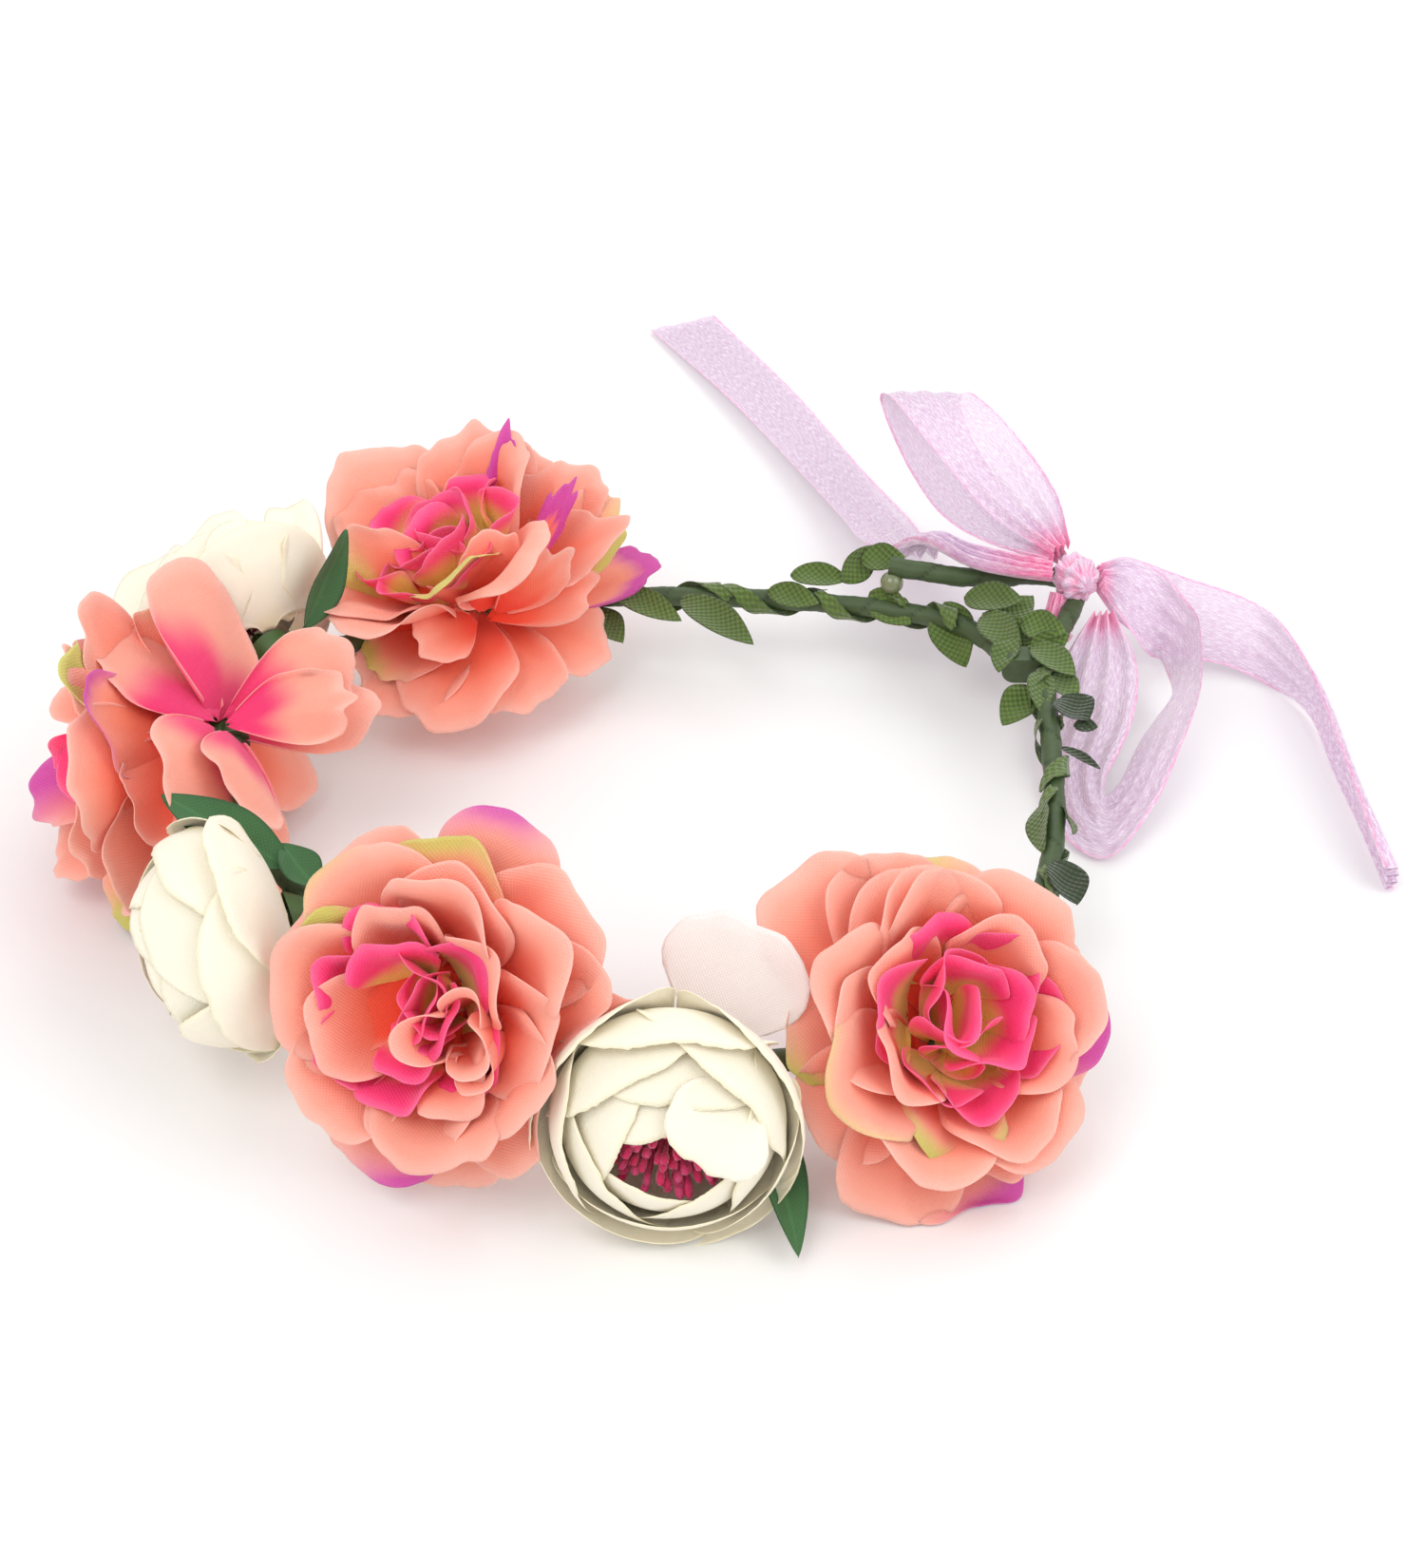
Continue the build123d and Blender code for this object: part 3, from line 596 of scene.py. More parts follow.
def petals_by_hand(name, rows):
    ragged, point = CORAL_SHAPES[name][3:]
    sheets = []
    for base, tip, faces, spread, bow, mark in rows:
        shows_back = isinstance(faces, str)
        if shows_back:
            faces, bow = FLOWERS[name]["facing"], -bow
        points, u, s, t, cloth = petal_between(base, tip, faces, spread, bow, cup=0.4, roll=0.15, ruffle=1.0,
                                               ragged=ragged, point=point)
        tint = magenta_root_tint(u, s, t, mark) if shows_back else coral_tint(u, s, t, mark)
        sheets.append((points, tint, cloth))
    return sheets


SPIRAL_BUD = (2, 9)        # where a tight coral bud stands beside the heart of the front left peony
HEART_RINGS = (            # distance from the axis, length, slope at the root
    (8.5, 19.5, 40), (4.0, 18.5, 56), (1.0, 18.0, 78),
)
PUSHED_STRETCH = 1.1       # a pushed-over bloom's inside petals are longer


def finish_layer(name, part, sheets, slot):
    sheets = [(clear_of_neighbours(points), tint, cloth) for points, tint, cloth in sheets]
    return make_piece(f"{name}_{part}_cloth", sheets, slot, replaces=[f"{name}_{part}"], refine=1)


def coral_outer_petals(name):
    start, roll, cup, ragged, point = CORAL_SHAPES[name]
    outer = petals_by_hand(name, OUTER_BY_HAND.get(name, []))
    for i, (azimuth, length, spread, tip_slope, mark) in enumerate(CORAL_OUTER[name]):
        points, u, s, t, cloth = petal(length - 2, spread, start + wobble(4), tip_slope + wobble(4),
                                       cup + wobble(0.1), roll + wobble(0.15), ruffle=1.2, fold=0.05,
                                       ragged=ragged, point=point)
        placed = place_in_flower(points, FLOWERS[name], (2.0, 7.2 + 0.25 * i), azimuth)
        outer.append((placed, coral_tint(u, s, t, mark), cloth))
    finish_layer(name, "outer_petals", outer, "coral_cloth")


def coral_middle_petals(name, spec, tall):
    """Seven petals by a rule, or the listed ones where there are any."""
    ragged, point = CORAL_SHAPES[name][3:]
    middle = petals_by_hand(name, MIDDLE_BY_HAND.get(name, []))
    for i in range(0 if middle else 7):
        points, u, s, t, cloth = petal(tall * (35 + wobble(2.5)), 46 + wobble(5), 16 + wobble(5),
                                       48 + wobble(12), 0.8, 0.35 + wobble(0.15), ruffle=1.6,
                                       ragged=ragged, point=point)
        placed = place_in_flower(points, spec, (2.0, 10.0 + 0.2 * i), 20 + i * 103 + wobble(8))
        middle.append((placed, coral_tint(u, s, t, MIDDLE_MARKS[name].get(i)), cloth))
    finish_layer(name, "middle_petals", middle, "coral_cloth")


def coral_inner_petals(name, spec, tall):
    ragged, point = CORAL_SHAPES[name][3:]
    offset = np.array(HEART_SHIFT[name]) * 0.6
    inner = []
    for i in range(6 if name in PUSHED else 9):
        wide = i < 5
        points, u, s, t, cloth = petal(tall * ((30 if wide else 25) + wobble(2)), 52 + wobble(4),
                                       (28 if wide else 38) + wobble(6), (56 if wide else 68) + wobble(10),
                                       0.9, 0.38 + wobble(0.2), ruffle=1.6, ragged=ragged, point=point)
        placed = place_in_flower(points, spec, (5.5, 10.2), 12 + i * 360 / 4.5 + wobble(10), offset)
        inner.append((placed, coral_tint(u, s, t, INNER_MARKS[name].get(i)), cloth))
    if name == "coral_front_left":
        inner.extend(spiral_bud(spec))
    finish_layer(name, "inner_petals", inner, "coral_cloth")


def spiral_bud(spec):
    """A tight bud of four petals, each a little further out than the one before."""
    bud = []
    for i in range(4):
        points, u, s, t, cloth = petal(22 + wobble(1), 56, 62, 92, 2.2, 0.3, ruffle=0.8)
        placed = place_in_flower(points, spec, (1.5 + 1.2 * i, 10.5), 60 + i * 115, SPIRAL_BUD)
        bud.append((placed, coral_tint(u, s, t), cloth))
    return bud


def coral_heart(name, spec, tall):
    """Three rings of curled petals, then any that are listed."""
    pink_from = 0.5 if name == "coral_back" else 0.28
    heart = []
    for i in range(13):
        ring, length, rise = HEART_RINGS[0 if i < 6 else 1 if i < 10 else 2]
        points, u, s, t, cloth = petal(tall * length + wobble(1.2), 60 + wobble(6), rise + wobble(6),
                                       rise + 26 + wobble(12), 0.9 + wobble(0.3), 0.20 + wobble(0.3),
                                       ruffle=1.5 + wobble(0.5), twist=wobble(0.3), blunt=5)
        offset = HEART_SHIFT[name] if i < 10 else (0, 0)
        placed = place_in_flower(points, spec, (ring, 12.0), i * 64 + wobble(12), offset)
        heart.append((placed, heart_tint(u, s, t, pink_from), cloth))
    for base, tip, faces, spread, bow in HEART_BY_HAND.get(name, []):
        points, u, s, t, cloth = petal_between(base, tip, faces, spread, bow, cup=1.6, roll=0.1, ruffle=1.6)
        heart.append((points, heart_tint(0.5 + u / 2, s, t), cloth))
    finish_layer(name, "heart", heart, "heart_cloth")


def coral_peony(name):
    """Four layers, from the outside in. The ones inside the outer petals may be pushed over."""
    tall = PUSHED_STRETCH if name in PUSHED else 1.0
    inside = dict(FLOWERS[name], **PUSHED.get(name, {}))
    coral_outer_petals(name)
    coral_middle_petals(name, inside, tall)
    coral_inner_petals(name, inside, tall)
    coral_heart(name, inside, tall)


def wrapped_petal(size, low, high, spread, mouth, ragged, flare, shoulder, dome):
    """A petal of a ranunculus, wrapped on an egg-shaped body from its foot to its mouth."""
    t = np.linspace(-1, 1, 41)[None, :]
    s = np.linspace(0, 1, 25)[:, None]
    waves = edge_waves(t)
    fray = RANDOM.normal(0, 0.6, t.shape)
    top = high - (high - low) * shoulder * np.abs(t) ** 3.2 + ragged * (2.2 * waves + fray)
    meridian = np.radians(low + (top - low) * s)
    radius = size * np.cos(meridian) ** 0.9
    opening = np.where(meridian > 0, 1 - (1 - mouth) * np.sin(meridian) ** 2, 1)
    radius = radius * opening + flare * ramp(0.6, 1.0, s) ** 2 + 0.6 * flare * ramp(0.8, 1.0, np.abs(t))
    way = math.radians(spread) * t * (0.35 + 0.65 * ramp(0.0, 0.5, s))
    height = CREAM_CENTRE + np.where(meridian > 0, dome, CREAM_DEPTH) * np.sin(meridian)
    points = np.stack([radius * np.cos(way), radius * np.sin(way), height * np.ones_like(way)], axis=-1)
    across = radius * math.radians(spread) * t
    along = np.degrees(meridian) * 0.5 * np.ones_like(t)
    cloth = np.stack([across * np.ones_like(along), along], axis=-1)
    return points, s * np.ones_like(t), t * np.ones_like(s), cloth


def cream_tint(s, t, shade=0.0):
    """Yellower at the root, as painted shade between the petals, and along the edge. Shade darkens the petal
    a little, from 0 to 1.
    """
    edge = np.maximum(s, np.abs(t))
    colour = between(CREAM_ROOT_SHADE, CREAM_BODY, ramp(0.0, 0.25, s))
    colour = between(colour, CREAM_BODY * (1 - 0.04 * shade), np.full_like(s, 0.5))
    return between(colour, CREAM_EDGE, 0.75 * ramp(0.955, 0.995, edge))


# cream petals given one by one: one folds over the mouth of the open flower, others stand loose
FOLDED_OVER = {
    "cream_front": [((20, -111, 16), (8, -127, 8), (0.2, -0.8, 0.6), 58, 20)],
    "cream_back_left": [((-80, 60, 14), (-91, 93, 22), (0, -0.7, 0.7), 20, 8),
                        ((-112, 48, 8), (-125, 78, 14), (-0.3, -0.6, 0.7), 38, 12),
                        ((-96, 50, 20), (-112, 76, 24), (-0.2, -0.6, 0.8), 44, 20)],
}


CREAM_PETALS = 18
CREAM_INNER_PETALS = 7     # the rest are the outer layer
SPIRAL_STEP = 137.5        # degrees from one cream petal to the next


def cream_petal(share, open_rims):
    """One wrapped petal. Share is its place, from 0 at the heart to 1 outside."""
    size = CREAM_RADIUS - 8.0 + 8.6 * share**0.9
    if open_rims:
        high = 70 - 56 * share**1.2 + wobble(3)
        flare = 0.3 + 2.2 * share
    else:
        high = 60 - 62 * share**2.2 + wobble(8)
        flare = 0.4 + 1.6 * share**2
    return wrapped_petal(size, -55 - 25 * share, high, 60 + wobble(8), 0.90 + 0.08 * share,
                         ragged=0.3 + 0.5 * share, flare=flare, shoulder=0.25 + 0.30 * share,
                         dome=17.0 if open_rims else 21.0)


def cream_ranunculus(name, way, open_rims):
    """Petals wrapped from the inside out. An open flower shows its rims, a bud is closed at its tip."""
    layers = {"outer_petals": [], "inner_petals": []}
    for i in range(CREAM_PETALS):
        points, s, t, cloth = cream_petal(i / (CREAM_PETALS - 1), open_rims)
        placed = place_in_flower(points, FLOWERS[name], (0, 0), way + i * SPIRAL_STEP + wobble(8))
        layer = layers["inner_petals" if i < CREAM_INNER_PETALS else "outer_petals"]
        layer.append((placed, cream_tint(s, t, RANDOM.uniform(0, 1)), cloth))
    for base, tip, faces, spread, bow in FOLDED_OVER.get(name, []):
        points, u, s, t, cloth = petal_between(base, tip, faces, spread, bow, cup=0.3, roll=0.1, ruffle=0.8)
        layers["inner_petals"].append((points, cream_tint(0.5 + u / 2, 0.5 * t), cloth))
    for part, sheets in layers.items():
        make_piece(f"{name}_{part}_cloth", sheets, "cream_cloth", replaces=[f"{name}_{part}"])


STAMENS = 95
STAMEN_TURN = 2.39996      # radians from one stamen to the next
STAMEN_LENGTH = 12.5
STAMEN_LEAN = 0.85         # radians, of the outermost
TUFT_RADIUS, TUFT_FOOT = 5.5, 18.5
STAMEN_STEPS = np.array([0, 0.45, 0.70, 0.82, 0.94, 1.0])
STAMEN_WIDTHS = np.array([0.45, 0.42, 0.55, 1.0, 0.95, 0.15])


def stamen(place):
    """One filament with a knobbly end, as a tube in the flower's own frame."""
    share = math.sqrt((place + 0.5) / STAMENS)
    azimuth = place * STAMEN_TURN
    lean = STAMEN_LEAN * share
    way_out = np.array([math.cos(azimuth), math.sin(azimuth)])
    direction = unit(np.array([*(math.sin(lean) * way_out), math.cos(lean)]) + RANDOM.normal(0, 0.12, 3))
    foot = np.array([*(TUFT_RADIUS * share * way_out), TUFT_FOOT])
    length = STAMEN_LENGTH + wobble(1.5)
    widths = STAMEN_WIDTHS * RANDOM.uniform(0.8, 1.15)
    side = unit(np.cross(direction, (0.3, 0.2, 1.0)))
    other = np.cross(direction, side)
    bend = RANDOM.normal(0, 0.6, 3)
    ring = np.linspace(0, 2 * math.pi, 7)
    circle = np.cos(ring)[:, None] * side + np.sin(ring)[:, None] * other
    spine = foot + STAMEN_STEPS[:, None] * length * direction + (STAMEN_STEPS**2)[:, None] * bend
    points = spine[:, None, :] + widths[:, None, None] * circle[None, :, :]
    # darker towards the foot, deep in the tuft: painted shade
    shade = np.clip(STAMEN_STEPS[:, None] * 0.9 + wobble(0.3), 0, 1) * np.ones((1, len(ring)))
    knob = between(STAMEN, STAMEN_PALE, np.full(shade.shape, RANDOM.uniform(0, 0.8)))
    cloth = np.stack(np.meshgrid(ring, STAMEN_STEPS * length), axis=-1)
    return points, between(STAMEN * 0.7, knob, shade), cloth


def stamen_tuft(name):
    """A dome of short filaments."""
    spec = FLOWERS[name]
    axes = flower_axes(spec["facing"])
    tuft = [stamen(place) for place in range(STAMENS)]
    sheets = [(points @ axes + np.array(spec["at"]), tint, cloth) for points, tint, cloth in tuft]
    make_piece(f"{name}_stamen_tuft", sheets, "stamen_plastic", thickness=0, replaces=[f"{name}_stamens"])


def blush_petal():
    """The loose petal behind the front cream flower."""
    points, u, _, _, cloth = petal_between((12.5, -86, 4), (23, -77, 28), (-0.2, -0.75, 0.62), 62, -6,
                                           cup=0.25, roll=0.1, ruffle=0.5, blunt=4)
    tint = between(BLUSH * 0.9, BLUSH, ramp(0, 0.7, u))
    make_piece("blush_petal", [(clear_of_neighbours(points), tint, cloth)], "blush_cloth",
               replaces=["loose_petal"])


# ---- band ----
BAND_ROUTE = [
    (90.5, 53, 0), (87, 64, -1), (79, 77, -3), (63, 85, -4.5), (38, 90, -5), (10, 92, -5),
    (-18, 91, -5), (-46, 84, -5), (-71, 68, -2), (-88, 46.5, 6), (-95.5, 15, 14), (-92, -16, 15),
    (-80, -42, 12), (-61, -64, 11), (-35, -78.5, 10.5), (-2, -88, 2), (30, -86, -3), (58, -75, -5),
    (81, -50, -4), (93, -20, -2), (96, 14, 0), (97, 48, 0),
    (101.5, 65, 0), (110, 84, 0), (108, 91, 0.8), (99, 91.5, 2), (88, 86.5, 4), (76, 86, 5),
    (62, 90, 5.5),
]
TAPE_R = 2.5
TAPE_PITCH = 13.0
EYE_START = (99.2, 56.5, 0)


def smooth_line(points, steps):
    """A quadratic spline through the middles of the runs, with its ends on the end points."""
    points = np.array(points, float)
    middles = (points[1:] + points[:-1]) / 2
    corners = points[1:-1]
    starts = np.vstack([points[:1], middles[1:-1]])
    ends = np.vstack([middles[1:-1], points[-1:]])
    pieces = []
    for a, corner, b in zip(starts, corners, ends):
        t = np.linspace(0, 1, steps, endpoint=False)[:, None]
        pieces.append((1 - t) ** 2 * a + 2 * t * (1 - t) * corner + t**2 * b)
    return np.vstack([*pieces, points[-1:]])


def evenly(line, spacing):
    """The same line with points at an even spacing, and the distance along it of each."""
    lengths = np.concatenate([[0], np.cumsum(np.linalg.norm(np.diff(line, axis=0), axis=1))])
    distances = np.linspace(0, lengths[-1], int(lengths[-1] / spacing) + 2)
    return np.stack([np.interp(distances, lengths, line[:, k]) for k in range(3)], axis=-1), distances


def line_frames(line):
    """A level side direction, and up, at each point of a line that is nowhere upright."""
    along = np.gradient(line, axis=0)
    along /= np.linalg.norm(along, axis=1, keepdims=True)
    side = np.cross((0, 0, 1), along)
    side /= np.linalg.norm(side, axis=1, keepdims=True)
    return side, np.cross(along, side)


BAND_SPACING = 0.8
BAND_LINE, BAND_DISTANCES = evenly(smooth_line(BAND_ROUTE, 24), BAND_SPACING)
BAND_SIDE, BAND_UP = line_frames(BAND_LINE)
# The band starts beside the eye's foot and comes back to it. The split is where it comes back.
COMES_BACK_AFTER = 400     # mm along the band
SPLIT_AT = int(np.argmin(np.linalg.norm(BAND_LINE - np.array(EYE_START), axis=1)
                         + 100 * (BAND_DISTANCES < COMES_BACK_AFTER)))


def tape_round_band(name, first, last, replaces):
    """Crepe tape wound on the wire in a spiral: each turn's edge stands over the one before."""
    line, distances = BAND_LINE[first:last], BAND_DISTANCES[first:last]
    side, up = BAND_SIDE[first:last], BAND_UP[first:last]
    ring = np.linspace(0, 2 * math.pi, 29)[None, :]
    phase = (distances[:, None] / TAPE_PITCH + ring / (2 * math.pi)) % 1.0
    step = ramp(0.0, 0.06, phase) * (1 - 0.6 * ramp(0.1, 0.9, phase))
    crumple = (0.05 * np.sin(distances[:, None] * 0.9 + 3 * np.sin(ring))
               + 0.04 * np.sin(distances[:, None] * 2.3 - 2 * ring))
    radius = TAPE_R - 0.22 + 0.30 * step + crumple
    points = (line[:, None, :] + (radius * np.cos(ring))[..., None] * side[:, None, :]
              + (radius * np.sin(ring))[..., None] * up[:, None, :])
    # darker in the groove at the foot of each turn's raised edge: painted shade
    shade = 0.55 + 0.45 * ramp(0.0, 0.10, phase) + 0.12 * (phase - 0.5)
    tint = TAPE_GREEN * shade[..., None]
    cloth = np.stack([ring * TAPE_R * np.ones_like(phase), distances[:, None] * np.ones_like(phase)], axis=-1)
    caps = []
    for at, row in ((0, points[0]), (-1, points[-1])):
        middle = np.repeat(line[at][None, :], row.shape[0], axis=0)
        rows = np.stack([row, middle] if at else [middle, row])
        caps.append((rows, np.broadcast_to(TAPE_GREEN * 0.8, rows.shape).copy(), rows[..., :2].copy()))
    make_piece(name, [(points, tint, cloth), *caps], "florist_tape", thickness=0, replaces=replaces)


# ---- leaves ----
def leaf(base, tip, width, faces, arch=0.12, cup=0.3, point=1.25, colour=SATIN_GREEN, vein=0.0):
    """A leaf from base to tip that shows one side, arched along its length and cupped across."""
    base, tip = np.array(base, float), np.array(tip, float)
    length = np.linalg.norm(tip - base)
    along = (tip - base) / length
    normal = np.array(faces, float)
    normal = unit(normal - along * np.dot(normal, along))
    across = np.cross(normal, along)
    s = np.linspace(0, 1, 25)[:, None]
    t = np.linspace(-1, 1, 13)[None, :]
    half = width / 2 * np.sin(math.pi * s**0.85) ** 0.8 * (1 - 0.35 * (point - 1) * s) + 0.15
    x = s * length * np.ones_like(t)
    y = half * t
    z = arch * length * 4 * s * (1 - s) * 0.5 + cup * half * (t**2 - 0.4)
    z = z + 0.03 * width * np.sin(9 * s + 2 * t) + vein * width * np.abs(t) * (1 - s)
    points = base + x[..., None] * along + y[..., None] * across + z[..., None] * normal
    edge = ramp(0.86, 1.0, np.abs(t) * np.ones_like(s))
    rib = np.exp(-((t / 0.07) ** 2)) * np.ones_like(s) if vein else 0 * edge
    tint = colour * (1 - 0.30 * edge[..., None]) * (1 + 0.25 * rib[..., None]) * RANDOM.uniform(0.88, 1.12)
    return points, tint, np.stack([half * t, x], axis=-1)


# base, tip, width, side shown
SATIN_BACK = [
    ((-8, 91, -3), (9, 80.5, -5), 8, (0, -0.5, 1)),
    ((9, 88, -3), (27, 71.5, -6), 9.5, (0.1, -0.5, 1)),
    ((31, 89, -1.5), (44, 85, -2.5), 7, (0, -0.7, 1)),
    ((37, 94, 0), (52, 92, 0), 7.5, (0, -0.4, 1)),
    ((50, 91, 0), (59, 100, 5), 8, (0.5, -0.8, 0.6)),
    ((55, 95, 4), (66, 93, 6), 8, (0, -0.6, 1)),
    ((57, 89, -2), (67, 79, -5), 9, (0, -0.8, 0.6)),
    ((-14, 90, -8), (-6, 78, -10), 9, (0.2, -0.5, 1)),
]
SATIN_EYE = [
    ((75.5, 83, -1), (80, 66, -9), 12, (-0.2, -0.8, 0.6)),
    ((88, 66, 2), (97, 78, 4.5), 8, (-0.3, -0.6, 1)),
    ((90, 62, 1), (96, 66, 5), 9, (-0.5, -0.8, 0.8)),
    ((94, 56, 2), (104, 59, 6), 7, (-0.2, -0.9, 0.6)),
    ((84, 72, 3), (92, 56, 3), 9, (-0.2, -0.6, 1)),
    ((93, 66, 5), (103, 58, 7), 8, (-0.1, -0.7, 0.8)),
    ((80, 79, 3), (94, 72, 7), 9, (0, -0.5, 1)),
    ((95, 57, 4), (104, 44, 4), 8, (0.1, -0.5, 1)),
    ((90, 60, 4), (86, 50, 1), 7, (-0.3, -0.5, 1)),
]
SATIN_RIGHT = [
    ((94, 44, 1), (86, 35, -4), 9, (-0.2, -0.7, 0.8)),
    ((96, 48, 3), (95, 33, 1), 7, (0, -0.4, 1)),
    ((98, 49, 2), (104, 38, 1), 8, (0.2, -0.4, 1)),
    ((91.5, -1, 0), (90, -19, 0), 7, (-0.8, -0.3, 0.7)),
    ((97.5, -12, 0), (96, -2, 0), 5, (0.9, -0.2, 0.5)),
]
ROUND_LEAVES = [           # dark leaves: two round ones, a small one and a narrow one
    ((100, 37, 3), (105, 27, 3), 9.5, (0.2, -0.5, 1)),
    ((102, 27.5, 1.5), (107.5, 26, 2), 3.4, (0.2, -0.5, 1)),
    ((92.5, -23, 1), (96, -35, -2), 9, (0.3, -0.5, 1)),
    ((98, 18, 2), (106, 9, 2.5), 2.2, (0.2, -0.5, 1)),
]
CLOTH_LEAVES = [
    ((-83, 50, 14), (-73, 69, 30), 10, (1, -0.6, 0.4)),
    ((-77, -47, 18), (-106, -30, 25), 12, (0.2, -0.6, 1)),
    ((-71, -52, 17), (-79, -42, 21), 9, (0.3, -0.5, 1)),
    ((-74, -43, 13), (-78, -57, -2), 12, (0.3, -0.7, 0.6)),
    ((23, -88, -9), (31, -124, -21), 11, (0.4, -0.3, 1)),
]


# from, to, turns, angle at the start
SATIN_RUNS = [
    (40, 64, 1.1, 1.0), (62, 88, 1.0, 2.0), (86, 110, 1.0, 0.4), (24, 42, 0.9, 0.0), (470, 494, 1.0, 0.5),
    (494, 520, -1.0, 1.0), (520, 548, 0.9, 2.2), (548, 574, 1.1, 0.2), (574, 596, 1.0, 2.4),
]


def satin_strip(start, stop, turns, phase, width=5.0, height=3.3):
    """Leaf ribbon wound on the band between two distances: wide where it is a leaf, narrow between."""
    inside = (BAND_DISTANCES >= start) & (BAND_DISTANCES <= stop)
    line, distances = BAND_LINE[inside], BAND_DISTANCES[inside]
    share = (distances - start) / (stop - start)
    angle = phase + 2 * math.pi * turns * share
    half = 0.5 * width * (0.35 + 0.65 * np.sin(math.pi * share) ** 0.7)
    t = np.linspace(-1, 1, 11)[None, :]
    slant = math.atan2(2 * math.pi * abs(turns) * height, stop - start)
    turn = angle[:, None] + half[:, None] * t / height * math.cos(slant)
    shift = -half[:, None] * t * math.sin(slant) * np.sign(turns)
    index = np.searchsorted(BAND_DISTANCES, distances)[:, None] + shift / BAND_SPACING
    index = np.clip(index.round().astype(int), 0, len(BAND_LINE) - 1)
    radius = height + 0.25 * t**2 + 0.4 * np.sin(math.pi * share)[:, None]
    points = (BAND_LINE[index] + (radius * np.cos(turn))[..., None] * BAND_SIDE[index]
              + (radius * np.sin(turn))[..., None] * BAND_UP[index])
    edge = ramp(0.8, 1.0, np.abs(t) * np.ones_like(turn))
    tint = SATIN_GREEN * (1 - 0.3 * edge[..., None])
    cloth = np.stack([half[:, None] * t, distances[:, None] * np.ones_like(t)], axis=-1)
    return points, tint, cloth


# ---- ribbon ----
STRAP_EDGES = [
    ((102.3, 86, 9.5), (102, 80, 8.2)), ((92, 87, 12), (92, 80, 9.2)), ((82, 91, 12), (81, 83, 10.4)),
    ((76, 99, 8), (70, 95, 10.4)), ((75.5, 105, -1), (62, 104, 1)),
]
LEFT_TAIL_EDGES = [
    ((75.8, 106, -1.8), (61.8, 105.5, 0)), ((75.5, 126, -12), (56.5, 123, -8)),
    ((73, 149, -19), (53, 143, -14)), ((61.5, 183, -23.4), (42, 175, -18)),
    ((43.8, 226, -23.4), (24, 217, -20)), ((20.8, 273, -23.4), (1.2, 263.5, -23.4)),
]
UPPER_LOOP_EDGES = [
    ((101.8, 88, 7.4), (107, 91, 7.6)), ((88, 100.5, 5), (104, 107.5, 5)), ((78, 120, 1), (97.5, 128, 1)),
    ((71, 142, 1), (91, 150, 1)), ((65.5, 160, 6), (87, 161.5, 6)), ((63.7, 164, 12), (85.5, 162.5, 12)),
    ((66.5, 151, 18), (88, 154, 18)), ((76, 125.5, 17), (96, 134.5, 19)), ((89, 102, 12.6), (105, 110, 15.5)),
    ((102.6, 89, 10.2), (107.4, 91.6, 11)),
]
LOWER_LOOP_EDGES = [
    ((114.6, 88, 7), (114.8, 81, 4.4)), ((122.5, 93, 6), (119.5, 75.5, 0)), ((131, 88, 4.5), (126, 71, -8)),
    ((136, 71, 6), (131, 75, -14)), ((137.5, 63, 3), (132.5, 65, -18)), ((136, 49, -3), (124, 53, -21)),
    ((130, 33.5, -9), (116, 36.5, -23.2)), ((122, 19, -17), (112.5, 31, -23.2)),
    ((110, 7, -22.6), (111.5, 29, -19)), ((100, 17, -23), (112, 31.5, -16.5)),
    ((97.5, 39, -20), (115.5, 38, -14.5)), ((100.5, 50, -15), (120, 48, -12)),
    ((102, 60, -10), (122.5, 59, -9)), ((106.5, 70, -6.4), (122, 68, -5)),
    ((112.6, 77.6, -0.6), (118, 78, -0.4)),
]
RIGHT_TAIL_EDGES = [
    ((113.6, 90.4, 5), (114.4, 86, 1)), ((124.5, 100, 1), (121.5, 84, -8)),
    ((139.5, 104, -7), (135, 86, -18.5)), ((155, 104, -13), (150, 84, -21.5)),
    ((163.5, 93, -13), (160.5, 77, -23.2)), ((166, 66, -7), (168.5, 64, -23.2)),
    ((168.5, 39, -8), (171, 39, -23.2)), ((170.5, 15, -10), (173.5, 15, -23.2)),
    ((174, -4, -16), (175.5, -4, -23.2)),
]
THROAT_EDGES = [((103.2, 84.4, 1), (105.2, 80, 3.4)), ((101.2, 79, -3), (103.6, 74, -2.6)),
                ((104.2, 75.8, -5), (106.4, 71.2, -4.6))]
RIBBON_WIDTH = 22.0
PLEATS = 3.5
SHEER = 0.74               # how much of what is behind the ribbon it hides
KNOT_CENTRE = (108.4, 83.8, 6.0)
RIBBON_ABOVE_FLOOR = 0.15


def through(points, per_run):
    """A smooth curve through every point."""
    points = np.array(points, float)
    padded = np.vstack([2 * points[0] - points[1], points, 2 * points[-1] - points[-2]])
    t = np.linspace(0, 1, per_run, endpoint=False)[:, None]
    pieces = []
    for a, b, c, d in zip(padded, padded[1:], padded[2:], padded[3:]):
        pieces.append(0.5 * (2 * b + (c - a) * t + (2 * a - 5 * b + 4 * c - d) * t**2
                             + (3 * b - a - 3 * c + d) * t**3))
    return np.vstack([*pieces, points[-1:]])


ACROSS = np.linspace(0, 1, 57)[None, :]
PLEAT_DEPTH = 0.27


